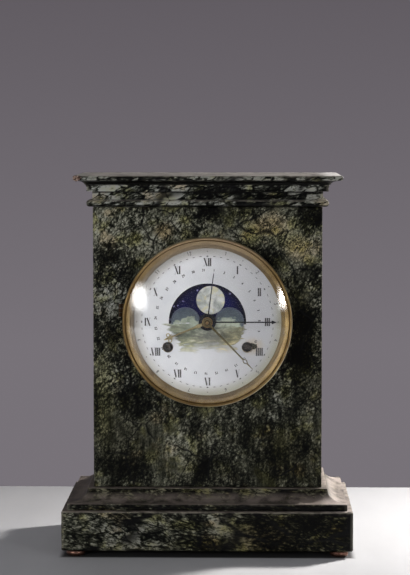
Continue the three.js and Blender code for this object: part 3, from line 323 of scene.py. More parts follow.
def edge_distance(profile, corners):
    """Distance of each profile row from the nearest of the corner rows, along the profile plane."""
    gap = np.linalg.norm(profile[:, None, :2] - np.asarray(corners, float)[None, :, :2], axis=2)
    return gap.min(1)


def filled_rows(rows):
    """A run of rows with more between them: one every few millimetres, and some close to each corner."""
    fine = []
    for a, b in zip(rows[:-1], rows[1:]):
        length = np.linalg.norm(b - a)
        t = np.linspace(0, 1, max(2, int(math.ceil(length / ROW_STEP)) + 1))
        near = np.array(NEAR_CORNER) / max(length, 0.01)
        near = near[near < 0.45]
        t = np.unique(np.concatenate([t, near, 1 - near]))[:, None]
        fine.append((a + t * (b - a))[:-1])
    return np.concatenate(fine + [rows[-1:]])


def course(corners, arrises, half_x, half_y, foot, seed, corner_round=1.2, settle=0.35, film=1.0, joints=()):
    """A stone course: (projection, height) rows carried round a rectangle with rounded corners.

    The rows run from the middle of the underside, up the moulded side and in to the middle of the top, so
    both faces are closed. Dust lies where the face looks up by more than settle, as thick as film, and dark
    dirt with painted shade within a millimetre or so of the joint rows."""
    corners = np.asarray(corners, float)
    middle = -half_y
    rows = np.concatenate([[[middle, corners[0, 1]]], corners, [[middle, corners[-1, 1]]]])
    rows = filled_rows(rows)
    shares, ways = edge_path(int(2 * half_x / COURSE_STEP), int(2 * half_y / COURSE_STEP))
    reach = np.maximum(np.array([half_x, half_y]) + rows[:, :1] - corner_round, 0)
    plan = shares[None] * reach[:, None, :] + corner_round * ways[None] * (reach.min(1) > 0)[:, None, None]
    height = np.broadcast_to(rows[:, 1:2] + foot, plan.shape[:2])
    points = np.concatenate([plan, height[..., None]], -1)
    slope = np.gradient(rows, axis=0)
    out = np.stack([slope[:, 1], -slope[:, 0]], 1)
    out /= np.maximum(np.linalg.norm(out, axis=1, keepdims=True), 1e-9)
    normal = np.concatenate([
        np.broadcast_to(ways, plan.shape) * out[:, None, :1],
        np.broadcast_to(out[:, None, 1:], plan.shape[:2] + (1,)),
    ], -1)
    edge = edge_distance(rows, arrises)[:, None] + np.zeros(plan.shape[:2])
    upright = (1 - np.abs(shares).min(1)) * np.array([half_x, half_y])[np.abs(shares).argmin(1)]
    side = np.abs(out[:, 1])[:, None] < 0.75
    corner = np.where(side, upright[None], np.inf)
    points, wear = worn(points, -normal, np.minimum(edge, corner), 3.2, seed)
    wear = wear * np.where(corner < edge, 0.35, 1.0)
    dust = film * np.clip((normal[..., 2] - settle) / (1 - settle) * 1.1, 0, 1)
    grime_and_shade = np.zeros(plan.shape[:2])
    if len(joints):
        grime_and_shade += np.clip(1.6 - edge_distance(rows, joints), 0, 1)[:, None]
    surface = points.reshape(-1, 3), grid_faces(len(rows), len(ways), False, True)
    return surface, {"wear": wear.ravel(), "dust": dust.ravel(), "grime_and_shade": grime_and_shade.ravel()}


def pierced_slab(front, back, seed, corner_round=0.9):
    """A wall slab with a round opening.

    Rows run from the circle out to the rectangle, round its arris, over the edge and back in on the other
    face."""
    shares, ways = edge_path(112, 136)
    half = np.array([BODY_X, BODY_HEIGHT / 2])
    middle = np.array([0.0, BODY_FOOT + BODY_HEIGHT / 2])
    rim = shares * (half - corner_round) + corner_round * ways + middle
    centre = np.array([0.0, DIAL_Z])
    way = rim - centre
    hole = centre + OPENING * way / np.linalg.norm(way, axis=1, keepdims=True)
    t = np.array([0, 0.15, 0.35, 0.55, 0.75, 0.88, 0.95, 0.985, 1.0])
    inset = rim - corner_round * ways
    face = hole[None] + t[:, None, None] * (inset - hole)[None]
    bend = np.linspace(0, QUARTER, 5)[1:]
    arris = inset[None] + corner_round * np.sin(bend)[:, None, None] * ways[None]
    drop = math.copysign(corner_round, back - front) * (1 - np.cos(bend))
    side = np.broadcast_to(rim, (3,) + rim.shape)
    plan = np.concatenate([face, arris, side, arris[::-1], face[::-1]])
    levels = np.concatenate([
        np.full(len(t), front),
        front + drop,
        np.linspace(front, back, 5)[1:-1],
        back - drop[::-1],
        np.full(len(t), back),
    ])
    level = np.broadcast_to(levels[:, None], plan.shape[:2])
    points = np.stack([plan[..., 0], level, plan[..., 1]], -1)
    outside = np.minimum(np.abs(levels - front), np.abs(levels - back))[:, None]
    edge = np.hypot(np.linalg.norm(plan - rim[None], axis=2), np.clip(outside - corner_round, 0, None))
    inward = np.zeros_like(points)
    inward[..., [0, 2]] = -ways[None] * 0.7
    inward[..., 1] = np.where(levels < (front + back) / 2, 0.7, -0.7)[:, None]
    points, wear = worn(points, inward, edge, 2.6, seed)
    wear = 0.55 * wear * np.abs(ways[:, 0])
    surface = points.reshape(-1, 3), grid_faces(len(levels), len(ways), True, True)
    return surface, {"wear": wear.ravel()}


# Materials
class Mixture:
    """A node tree being filled: each method adds the nodes of one step and gives their output."""

    def __init__(self, tree):
        """The tree that the nodes go into."""
        self.tree = tree

    def node(self, kind, sockets=None, **settings):
        """A shader node with settings, its sockets set to constants or linked to other outputs."""
        made = self.tree.nodes.new("ShaderNode" + kind)
        for key, value in settings.items():
            setattr(made, key, value)
        for key, value in (sockets or {}).items():
            self.wire(made.inputs[key], value)
        return made

    def wire(self, socket, value):
        """A socket linked to an output or set to a constant, where a colour's three parts become opaque."""
        if isinstance(value, bpy.types.NodeSocket):
            self.tree.links.new(value, socket)
        else:
            socket.default_value = (*value, 1) if socket.type == "RGBA" else value

    def calc(self, operation, a, b=0.0, c=0.0):
        """One step of arithmetic."""
        return self.node("Math", {0: a, 1: b, 2: c}, operation=operation).outputs[0]

    def plus(self, a, b):
        """a + b"""
        return self.calc("ADD", a, b)

    def less(self, a, b):
        """a - b"""
        return self.calc("SUBTRACT", a, b)

    def times(self, a, b):
        """a * b"""
        return self.calc("MULTIPLY", a, b)

    def scaled(self, a, by, more):
        """a * by + more"""
        return self.calc("MULTIPLY_ADD", a, by, more)

    def most(self, a, b):
        """The larger of a and b."""
        return self.calc("MAXIMUM", a, b)

    def off(self, a, middle):
        """How far a is from a middle value, either way."""
        return self.calc("ABSOLUTE", self.less(a, middle))

    def vector(self, operation, a, b=(0, 0, 0)):
        """One step of arithmetic on vectors."""
        return self.node("VectorMath", {0: a, 1: b}, operation=operation).outputs[0]

    def distance(self, a, b=(0, 0, 0)):
        """Distance between two points, or of one from the origin."""
        return self.node("VectorMath", {0: a, 1: b}, operation="DISTANCE").outputs["Value"]

    def parts(self, vector):
        """The X, Y and Z of a vector."""
        return tuple(self.node("SeparateXYZ", {0: vector}).outputs)

    def fade(self, value, low, high, top=1.0):
        """A smooth step from 0 at low to top at high, either way round."""
        sockets = {"Value": value, "From Min": low, "From Max": high, "To Max": top}
        return self.node("MapRange", sockets, interpolation_type="SMOOTHSTEP").outputs[0]

    def blend(self, factor, a, b, mode="MIX"):
        """Colour a going over to b as the factor goes from 0 to 1, or to a times b with MULTIPLY."""
        return self.node("Mix", {0: factor, 6: a, 7: b}, data_type="RGBA", blend_type=mode).outputs[2]

    def tinted(self, factor, colour, tint):
        """A colour multiplied by a tint as far as the factor says."""
        return self.blend(factor, colour, tint, "MULTIPLY")

    def ramp(self, value, *stops):
        """A value through stops of (place, grey or colour), straight lines between them."""
        made = self.node("ValToRGB", {0: value})
        band = made.color_ramp
        while len(band.elements) < len(stops):
            band.elements.new(0.5)
        for element, (place, tone) in zip(band.elements, stops):
            element.position = place
            element.color = (tone, tone, tone, 1) if isinstance(tone, (int, float)) else (*tone, 1)
        return made.outputs[0]

    def noise(self, place, scale, detail=3.0, rough=0.55, warp=0.0, out=0):
        """Layered smooth noise about 0.5, with so many features to the metre."""
        sockets = {"Vector": place, "Scale": scale, "Detail": detail, "Roughness": rough, "Distortion": warp}
        return self.node("TexNoise", sockets).outputs[out]

    def cracks(self, place, scale):
        """Distance from the borders of cells about scattered points."""
        sockets = {"Vector": place, "Scale": scale}
        return self.node("TexVoronoi", sockets, feature="DISTANCE_TO_EDGE").outputs["Distance"]

    def pebbles(self, place, scale):
        """Cells about scattered points: the distance from a cell's own point, and a random tone per cell."""
        made = self.node("TexVoronoi", {"Vector": place, "Scale": scale}, feature="F1")
        tone = self.node("SeparateColor", {0: made.outputs["Color"]}).outputs[0]
        return made.outputs["Distance"], tone

    def field(self, name):
        """A value kept on the mesh's points."""
        return self.node("Attribute", attribute_name=name).outputs["Fac"]

    def here(self, move=(0, 0, 0), scale=(1, 1, 1), turn=(0, 0, 0), kind="POINT"):
        """Object coordinates scaled, turned and moved; TEXTURE does the reverse, for a pattern's own axes."""
        coordinates = self.node("TexCoord").outputs["Object"]
        sockets = {"Vector": coordinates, "Location": move, "Rotation": turn, "Scale": scale}
        return self.node("Mapping", sockets, vector_type=kind).outputs[0]

    def on_dial(self, scale=(1, 1, 1)):
        """Object coordinates counted from the middle of the dial."""
        return self.here(move=(0, 0, -DIAL_Z * MM), scale=scale)

    def axis_radius(self):
        """Distance from the dial's axis, in metres."""
        return self.distance(self.on_dial(scale=(1, 0, 1)))

    def shifted(self, place, amount, scale, detail=3.0):
        """Coordinates pushed about: noise of three parts, less a half, times the amount, is added to them."""
        push = self.vector("SUBTRACT", self.noise(place, scale, detail, out=1), (0.5, 0.5, 0.5))
        return self.vector("ADD", place, self.vector("MULTIPLY", push, (amount, amount, amount)))

    def patches(self, place, spots):
        """The most of several soft ovals about lines along Y, each falling smoothly from middle to edge."""
        total = 0.0
        for x, z, wide, high, share in spots:
            sockets = {"Vector": place, "Location": (x * MM, 0, z * MM), "Scale": (wide * MM, 1e6, high * MM)}
            centred = self.node("Mapping", sockets, vector_type="TEXTURE").outputs[0]
            total = self.most(total, self.fade(self.distance(centred), 1.0, 0.25, share))
        return total

    def bumped(self, shader, height, strength, distance):
        """The shader's normal leaned by the slope of a height."""
        made = self.node("Bump", {"Height": height, "Strength": strength, "Distance": distance})
        self.wire(shader.inputs["Normal"], made.outputs[0])


def finish(name):
    """An empty node material, its mixture and its shader."""
    made = bpy.data.materials.new(name)
    made.use_nodes = True
    return made, Mixture(made.node_tree), made.node_tree.nodes["Principled BSDF"]


# Serpentine marble: patches seen from the front, as (x, z, half width, half height, share) in millimetres
BODY_PATCHES = {
    "pale": [(-95, 325, 34, 30, 1.0), (-58, 312, 28, 24, 0.5), (-28, 322, 26, 18, 0.5), (5, 313, 30, 9, 0.6),
             (62, 323, 36, 20, 1.0), (93, 301, 28, 19, 1.0), (44, 318, 22, 16, 0.8), (-97, 262, 22, 44, 0.3),
             (-27, 100, 24, 42, 1.0), (16, 120, 24, 36, 0.35), (66, 143, 9, 30, 0.55),
             (-102, 150, 14, 60, 0.3)],
    # In dark, the patch at x 93, z 212 right of the bezel is a painted shadow of the bezel
    "dark": [(6, 335, 26, 10, 1.0), (106, 335, 24, 20, 1.3), (16, 334, 16, 12, 1.0), (48, 333, 7, 8, 1.0),
             (62, 290, 20, 15, 1.2), (102, 281, 18, 9, 1.2), (90, 268, 12, 20, 0.8), (93, 212, 15, 66, 1.3),
             (-74, 152, 24, 24, 0.7), (-4, 88, 10, 28, 1.0), (72, 92, 46, 34, 0.45), (-88, 82, 30, 16, 0.7),
             (-72, 282, 16, 16, 0.5), (40, 120, 10, 40, 0.5)],
    "olive": [(44, 316, 16, 18, 0.8), (80, 312, 30, 16, 0.5), (-70, 312, 10, 10, 0.9), (-22, 331, 8, 8, 0.8),
              (-22, 317, 8, 10, 0.7), (-103, 150, 16, 70, 0.6), (-55, 95, 14, 14, 0.7),
              (72, 105, 14, 30, 0.5)],
    "ochre": [(-43, 319, 13, 12, 0.9), (62, 326, 28, 18, 0.8), (92, 302, 26, 20, 0.6), (90, 80, 12, 10, 0.8),
              (-50, 135, 10, 10, 0.6)],
    # In dim, the patch at x 92, z 216 right of the bezel is a painted shadow of the bezel
    "dim": [(92, 216, 24, 76, 1.0), (106, 190, 30, 60, 0.45), (80, 95, 62, 52, 0.75), (-85, 105, 50, 56, 0.6),
            (0, 80, 60, 24, 0.5)],
    "lace": [(44, 318, 22, 22, 1.0), (66, 325, 30, 24, 1.0), (94, 303, 32, 22, 1.0)],
    "shards": [(-97, 262, 26, 48, 1.0), (-78, 172, 44, 30, 0.7), (66, 143, 14, 36, 0.6),
               (104, 250, 18, 40, 0.4)],
}
PLINTH_PATCHES = {
    "pale": [(-110, 22, 44, 22, 0.5), (-60, 34, 40, 12, 0.5), (20, 38, 34, 8, 0.4), (-60, 12, 22, 8, 0.5)],
    "dark": [(0, 49, 400, 6, 1.0), (95, 25, 60, 30, 0.9), (0, 14, 40, 12, 0.6), (-100, 36, 20, 6, 0.4)],
    "olive": [(-20, 32, 26, 9, 0.8), (-5, 12, 40, 8, 0.8), (30, 30, 22, 10, 0.5)],
    "ochre": [(128, 26, 12, 12, 0.8), (60, 20, 40, 20, 0.5), (4, 34, 10, 6, 0.7)],
    "dim": [(85, 25, 120, 60, 1.0), (-60, 20, 110, 50, 0.4), (0, 61, 900, 14, 0.9)],
    "lace": [],
    "shards": [(-75, 26, 70, 28, 0.9), (30, 38, 60, 9, 0.6)],
}
FRIEZE_PATCHES = {
    "pale": [(-95, 356, 46, 20, 0.95), (-48, 352, 40, 12, 0.8), (-115, 372, 30, 6, 0.3),
             (-30, 370, 40, 6, 0.2), (38, 352, 12, 5, 0.6), (70, 347, 16, 4, 0.6), (112, 347, 10, 4, 0.4)],
    "dark": [(-62, 362, 22, 8, 0.6), (0, 356, 20, 10, 0.4)],
    "olive": [(38, 352, 12, 6, 0.7), (70, 347, 18, 5, 0.7), (-40, 352, 14, 7, 0.5)],
    "ochre": [(112, 347, 12, 5, 0.6), (-112, 352, 14, 6, 0.5)],
    "dim": [(75, 352, 90, 16, 0.3), (70, 373, 120, 10, 0.4), (-70, 374, 80, 8, 0.3)],
    "lace": [],
    "shards": [],
}
STONE_TONES = [(0.20, (0.0008, 0.0008, 0.0008)), (0.36, (0.0046, 0.0048, 0.0034)),
               (0.46, (0.0165, 0.0170, 0.0110)), (0.55, (0.047, 0.048, 0.033)),
               (0.66, (0.128, 0.127, 0.094)), (0.82, (0.29, 0.285, 0.225))]
CHALK_TONES = [(0.40, (0.035, 0.022, 0.018)), (0.50, (0.24, 0.145, 0.11)), (0.62, (0.54, 0.42, 0.36))]
DIM_TINT = (0.38, 0.355, 0.27)
SHARD_TINT = (0.97, 1.0, 1.16)
OLIVE_TINT = (1.0, 0.97, 0.50)
OCHRE_TINT = (1.28, 1.02, 0.72)
VEIN_BLACK = (0.0026, 0.0026, 0.0028)
JOINT_GRIME_AND_SHADE = (0.0030, 0.0028, 0.0025)
RUBBED_STONE = (0.24, 0.22, 0.18)
BROWN_DUST = (0.126, 0.104, 0.091)
PALE_DUST = (0.310, 0.285, 0.266)


def marble_finish(name, patches, shards, lean, long, crack, film, upright=0.0):
    """Dark green breccia: a score is summed, and a ramp makes it tone, black ground to grey-green flakes.

    The score adds broad noise, pale and dark patches, grit, rounded flakes, each with a tone, angular shards
    with dark seams, curled threads where noise is near its middle value, and crumbs. Over the tone lie dim
    parts, some of them painted shadow, olive and ochre tints, black veins along cell borders, dust, painted
    paler on the right end as painted sunlight, dark dirt and painted shade in the joints, rubbed edges and
    broken stone. Flakes are long times as long as high and lean from level by an angle, crack is the veins'
    width, film the dust's colour, and upright the strength of streaks that come in toward the foot."""
    made, mix, shader = finish(name)
    place = mix.here()
    bedded = mix.here(scale=(long, long, 1), turn=(0, math.radians(lean), 0), kind="TEXTURE")
    pushed = mix.shifted(place, 0.014, 26.0, 4.0)
    bent = mix.shifted(bedded, 0.010, 36.0)
    crushed = mix.shifted(bent, 0.0035, 190.0)
    patch = {kind: mix.patches(pushed, spots) for kind, spots in patches.items()}
    grit = mix.noise(crushed, 560.0, 5.0, 0.78)
    crumb = mix.fade(mix.off(mix.noise(crushed, 330.0, 2.0, 0.55, 0.9), 0.5), 0.11, 0.0)
    flake_edge, flake_tone = mix.pebbles(crushed, 500.0)
    curl = mix.off(mix.noise(bent, 210.0, 2.0, 0.5, 1.6), 0.5)
    tangle = mix.most(patch["lace"], mix.fade(mix.noise(pushed, 48.0, 2.0), 0.46, 0.58, 0.6))
    threads = mix.times(mix.fade(curl, 0.030, 0.004), tangle)
    per_metre, least, spread, lift = shards
    shattered = mix.most(patch["shards"], least)
    shard_tone = mix.scaled(mix.pebbles(crushed, per_metre)[1], spread, lift)
    seam = mix.fade(mix.cracks(crushed, per_metre), 0.10, 0.02, -0.36)
    score = mix.scaled(mix.noise(pushed, 30.0, 5.0, 0.6), 1.25, -0.19)
    score = mix.plus(score, mix.times(mix.plus(shard_tone, seam), shattered))
    for part, weight in ((patch["pale"], 0.20), (patch["dark"], -0.22), (grit, 1.05), (flake_edge, -0.42),
                         (flake_tone, 0.22), (threads, 0.24), (crumb, 0.13)):
        score = mix.scaled(part, weight, score)
    if upright:
        score = streaked(mix, score, pushed, patch["lace"], threads, upright)
    colour = mix.ramp(mix.less(score, 0.42), *STONE_TONES)
    colour = mix.tinted(patch["dim"], colour, DIM_TINT)
    colour = mix.tinted(shattered, colour, SHARD_TINT)
    greenish = mix.fade(mix.noise(pushed, 58.0, 3.0), 0.50, 0.68, 0.7)
    colour = mix.tinted(mix.most(greenish, patch["olive"]), colour, OLIVE_TINT)
    rusty = mix.fade(mix.noise(mix.shifted(place, 0.02, 17.0), 36.0, 3.0), 0.57, 0.70, 0.6)
    colour = mix.tinted(mix.most(rusty, patch["ochre"]), colour, OCHRE_TINT)
    veins = mix.fade(mix.cracks(mix.shifted(bedded, 0.030, 17.0), 30.0), crack, 0.15 * crack)
    veins = mix.times(veins, mix.fade(mix.noise(place, 21.0, 2.0), 0.40, 0.54, 0.92))
    colour = mix.blend(veins, colour, VEIN_BLACK)
    dusty = mix.times(mix.field("dust"), mix.fade(mix.noise(place, 70.0, 5.0, 0.65), 0.25, 0.62))
    # Painted sunlight: the dust is made paler toward the right end
    painted_sunlit_end = mix.fade(mix.parts(place)[0], 0.108, 0.122)
    dust_tone = mix.blend(painted_sunlit_end, film, (film[0] * 2.4, film[1] * 2.5, film[2] * 2.6))
    colour = mix.blend(dusty, colour, dust_tone)
    # Dark dirt and painted shade in the joints, most of them under overhangs
    colour = mix.blend(mix.field("grime_and_shade"), colour, JOINT_GRIME_AND_SHADE)
    rubbed = mix.times(mix.field("wear"), 0.8)
    colour = mix.blend(rubbed, colour, RUBBED_STONE)
    broken = mix.field("broken")
    colour = mix.blend(broken, colour, mix.ramp(grit, *CHALK_TONES))
    mix.wire(shader.inputs["Base Color"], colour)
    dull = mix.most(mix.most(dusty, rubbed), broken)
    mix.wire(shader.inputs["Roughness"], mix.scaled(dull, 0.4, mix.scaled(grit, 0.16, 0.26)))
    shader.inputs["Specular IOR Level"].default_value = 0.09
    mix.bumped(shader, mix.scaled(veins, -1.2, mix.times(grit, 0.6)), 0.22, 0.0004)
    return made


def streaked(mix, score, pushed, laced, threads, upright):
    """The score drawn toward its middle, 0.9, near the foot, in calm clouds and under lace.

    Threads in the lace and upright streaks, noise stretched along Z, are then added."""
    streaks = mix.noise(mix.shifted(mix.here(scale=(1, 1, 0.16)), 0.004, 60.0), 190.0, 4.0, 0.65)
    foot = mix.fade(mix.parts(mix.here())[2], 0.205, 0.135)
    calm = mix.less(mix.scaled(foot, -0.30, 1.0), mix.fade(mix.noise(pushed, 30.0, 3.0), 0.50, 0.64, 0.42))
    calm = mix.scaled(laced, -0.28, calm)
    score = mix.scaled(mix.less(score, 0.9), calm, 0.9)
    score = mix.scaled(mix.times(threads, laced), 0.22, score)
    score = mix.scaled(laced, 0.01, score)
    return mix.scaled(mix.times(mix.less(streaks, 0.5), upright), foot, score)


BROWNED_GILT = (0.235, 0.150, 0.068)
SLOPE_REFLECTION_AND_SHADE = [(-0.03, 0.08, (0.46, 0.42, 0.37)), (-0.02, -0.09, (0.17, 0.130, 0.062))]
PAINTED_TOP_LIGHT = (0.58, 0.44, 0.28)
PAINTED_RIM_HIGHLIGHT = (0.79, 0.68, 0.47)
HINGE_BROWN = (0.055, 0.036, 0.022)


def ring_painted_light(mix, colour, radius, dirt):
    """Painted light on a turned ring by place, X and Z counted from the dial's middle.

    The inner slope gets a painted grey reflection at upper left and painted shade at lower right, by Z less
    X.
    The top gets paler painted light outside the grooves, and the outer rim a painted highlight at top and
    lower right. What stands out past the rim is brown."""
    side, _, up = mix.parts(mix.on_dial())
    leaning = mix.less(up, side)
    inner = mix.fade(radius, 0.0785, 0.0730, 0.6)
    # Painted reflection at upper left and painted shade at lower right on the inner slope
    for low, high, light in SLOPE_REFLECTION_AND_SHADE:
        colour = mix.blend(mix.times(inner, mix.fade(leaning, low, high)), colour, light)
    # Painted light on the top, paler upward
    above = mix.times(mix.fade(up, 0.045, 0.082, 0.7), mix.less(1.0, dirt))
    colour = mix.blend(above, colour, PAINTED_TOP_LIGHT)
    # Painted highlight on the outer rim at top and lower right
    outer = mix.fade(radius, (BEZEL_RADIUS - 1.1) * MM, (BEZEL_RADIUS - 0.4) * MM)
    lit = mix.most(mix.fade(leaning, -0.02, -0.10), mix.fade(up, 0.04, 0.08, 0.6))
    colour = mix.blend(mix.times(outer, lit), colour, PAINTED_RIM_HIGHLIGHT)
    beyond = mix.fade(radius, (BEZEL_RADIUS + 0.2) * MM, (BEZEL_RADIUS + 0.7) * MM)
    return mix.blend(beyond, colour, HINGE_BROWN)


def brass_finish(name, clean, stained, rings=False, grooves=(), bronze=0.0):
    """Aged brass: lacquer browned in clouds, fine marks of the lathe or the brush, dark specks.

    Grime lies in turned grooves, given as (radius, half width) in millimetres, and bronze browns all within a
    radius. The marks are noise along the radius on rings, and noise stretched along Y elsewhere."""
    made, mix, shader = finish(name)
    place = mix.here()
    radius = mix.axis_radius()
    cloud = mix.noise(place, 45.0, 5.0, 0.65)
    colour = mix.blend(mix.fade(cloud, 0.36, 0.66), clean, stained)
    if bronze:
        browned = mix.fade(radius, bronze * MM, (bronze - 0.3) * MM, 0.85)
        colour = mix.blend(browned, colour, BROWNED_GILT)
    dirt = mix.fade(mix.noise(place, 380.0, 3.0, 0.7), 0.56, 0.72, 0.15 if rings else 0.7)
    for middle, half in grooves:
        line = mix.fade(mix.off(radius, middle * MM), half * MM, 0.35 * half * MM)
        dirt = mix.most(dirt, mix.times(line, mix.fade(cloud, 0.0, 0.4, 0.85)))
    colour = mix.blend(dirt, colour, (stained[0] * 0.22, stained[1] * 0.17, stained[2] * 0.16))
    shader.inputs["Metallic"].default_value = 1.0
    if rings:
        # On the rings, painted reflection, shade and highlights by place
        colour = ring_painted_light(mix, colour, radius, dirt)
        round_way = mix.node("CombineXYZ", {0: radius, 1: mix.times(cloud, 0.0004)}).outputs[0]
        lines = mix.noise(round_way, 2600.0, 2.0)
    else:
        lines = mix.noise(mix.here(scale=(1, 0.06, 1)), 1500.0, 2.0)
        mix.bumped(shader, mix.scaled(dirt, -0.6, lines), 0.18, 0.0002)
    mix.wire(shader.inputs["Base Color"], colour)
    rough = mix.scaled(lines, 0.04 if rings else 0.12, mix.fade(cloud, 0.3, 0.7, 0.14))
    rough = mix.plus(rough, mix.scaled(dirt, 0.08 if rings else 0.25, 0.32))
    mix.wire(shader.inputs["Roughness"], rough)
    return made


def steel_finish(name, light, dark, rough_low, rough_high):
    """Hand-filed steel: a tempered colour with clouds, fine file marks along the piece."""
    made, mix, shader = finish(name)
    cloud = mix.noise(mix.here(), 120.0, 4.0, 0.6)
    mix.wire(shader.inputs["Base Color"], mix.blend(mix.ramp(cloud, (0.38, 0.0), (0.64, 1.0)), light, dark))
    shader.inputs["Metallic"].default_value = 1.0
    lines = mix.noise(mix.here(scale=(1, 1, 0.1)), 1900.0, 2.0)
    rough = mix.node("MapRange", {"Value": lines, "To Min": rough_low, "To Max": rough_high}).outputs[0]
    mix.wire(shader.inputs["Roughness"], rough)
    mix.bumped(shader, lines, 0.12, 0.0001)
    return made


ENAMEL_TONES = [(0.3, (0.71, 0.725, 0.76)), (0.7, (0.79, 0.80, 0.825))]
RIM_STAIN_AND_SHADE = (0.44, 0.42, 0.365)
RIGHT_SHADE = (0.40, 0.405, 0.425)
RIM_SHADES = [(0.010, 0.055, (0.33, 0.315, 0.30)), (-0.010, -0.055, (0.36, 0.35, 0.25))]
HAIR_BROWN = (0.45, 0.40, 0.33)
CHIP_EDGE = (0.46, 0.36, 0.22)
CHIP_DARK = (0.035, 0.032, 0.020)
CHIP_FROM_HOLE = (5.4, 1.0)
CHIP_SIZE = (4.6, 3.6)
CLOUD_TONES = [(0.34, (0.066, 0.075, 0.071)), (0.50, (0.142, 0.150, 0.125)), (0.66, (0.40, 0.392, 0.32))]
PUFF_TONES = [(0.36, (0.200, 0.245, 0.190)), (0.6, (0.42, 0.465, 0.375))]
SLATE_TONES = [(0.34, (0.036, 0.052, 0.074)), (0.64, (0.086, 0.112, 0.132))]
SLATE_RIM = (0.060, 0.067, 0.125)
LEFT_TINT = (0.93, 1.03, 0.80)
RIGHT_TINT = (1.22, 1.12, 0.74)
LOW_TINT = (1.95, 1.80, 1.55)


def white_ground(mix, place, mottle, hairs):
    """Bluish white in soft blotches, with painted shade toward the right, painted shade with some stain
    toward the rim, painted shade and reflection near the rim at upper left and lower right, hair cracks and
    one chip.

    The chip is an oval with a noisy edge at the right winding hole, dark inside a browned border."""
    side, _, z = mix.parts(place)
    radius = mix.axis_radius()
    white = mix.ramp(mottle, *ENAMEL_TONES)
    # Painted shade with some stain toward the rim, painted shade toward the right, and painted shade and
    # reflection near the rim at upper left and lower right
    white = mix.blend(mix.fade(radius, 0.060, 0.0735, 0.75), white, RIM_STAIN_AND_SHADE)
    white = mix.blend(mix.fade(side, -0.026, 0.060, 0.85), white, RIGHT_SHADE)
    leaning = mix.scaled(side, -0.7, mix.times(z, 0.7))
    near_rim = mix.fade(radius, 0.0615, 0.0735, 0.8)
    for low, high, shade in RIM_SHADES:
        white = mix.blend(mix.times(mix.fade(leaning, low, high), near_rim), white, shade)
    white = mix.blend(hairs, white, HAIR_BROWN)
    chip_at = ((WIND_X + CHIP_FROM_HOLE[0]) * MM, 0, (DIAL_Z + WIND_Z + CHIP_FROM_HOLE[1]) * MM)
    oval = mix.here(move=chip_at, scale=(CHIP_SIZE[0] * MM, 1e6, CHIP_SIZE[1] * MM), kind="TEXTURE")
    chip = mix.scaled(mix.less(mix.noise(place, 260.0), 0.5), 1.4, mix.distance(oval))
    white = mix.blend(mix.fade(chip, 3.1, 0.9, 0.55), white, CHIP_EDGE)
    return mix.blend(mix.fade(chip, 1.0, 0.8), white, CHIP_DARK)


def painted_clouds(mix, place, white):
    """The white ground with the painting under the moon opening, and how much of it is painted.

    The bank's half width narrows downward and frays by streaky noise, which also sets its tone. The two
    humps are slate blue circles with pale puffs, whose upper edge is a tent shape made ragged by billowing
    noise."""
    side, _, z = mix.parts(place)
    x = mix.calc("ABSOLUTE", side)
    streak = mix.noise(mix.here(move=(0.3, 0, 0.7), scale=(1, 1, 3.8)), 50.0, 5.0, 0.62, 0.6)
    wisp = mix.less(streak, 0.5)
    billow = mix.noise(place, 130.0, 4.0, 0.6, 0.8)
    ragged = mix.less(billow, 0.5)
    narrowing = {"Value": z, "From Min": -0.027, "From Max": -0.004, "To Min": 0.027, "To Max": 0.0405}
    width = mix.node("MapRange", narrowing).outputs[0]
    inside = mix.less(mix.scaled(wisp, 0.045, width), mix.off(side, 0.0014))
    bank = mix.times(mix.fade(inside, 0.0, 0.004), mix.fade(mix.scaled(wisp, 0.03, z), -0.0300, -0.0205))
    bank = mix.times(bank, mix.fade(z, -0.0012, -0.0022))
    from_hump = mix.distance(mix.node("CombineXYZ", {0: x, 2: z}).outputs[0], (HUMP_AT * MM, 0, 0))
    rim = mix.less(HUMP_RADIUS * MM, from_hump)
    hump = mix.most(mix.fade(mix.scaled(ragged, 0.016, z), -0.0035, -0.0010), mix.fade(z, -0.0012, 0.0))
    hump = mix.times(hump, mix.fade(rim, -0.0006, -0.0002))
    tone = mix.scaled(streak, 0.75, mix.times(billow, 0.25))
    cloud = mix.ramp(tone, *CLOUD_TONES)
    cloud = mix.tinted(mix.fade(side, 0.004, -0.022, 0.7), cloud, LEFT_TINT)
    cloud = mix.tinted(mix.fade(side, 0.004, 0.024, 0.75), cloud, RIGHT_TINT)
    cloud = mix.tinted(mix.fade(z, -0.013, -0.023, 0.7), cloud, LOW_TINT)
    cloud = mix.blend(mix.fade(tone, 0.58, 0.72, 0.5), cloud, white)
    puff_tone = mix.ramp(billow, *PUFF_TONES)
    upper = mix.fade(mix.scaled(wisp, 0.022, z), -0.0115, -0.0030, 0.7)
    cloud = mix.blend(mix.times(upper, mix.fade(x, 0.034, 0.018)), cloud, puff_tone)
    puffs = mix.scaled(mix.off(x, 0.0195), 0.42, mix.scaled(ragged, 0.022, z))
    slate = mix.ramp(billow, *SLATE_TONES)
    slate = mix.blend(mix.fade(puffs, 0.0072, 0.0050), slate, puff_tone)
    slate = mix.blend(mix.fade(rim, 0.0030, 0.0004, 0.5), slate, SLATE_RIM)
    colour = mix.blend(hump, mix.blend(bank, white, cloud), slate)
    return colour, mix.most(bank, hump)


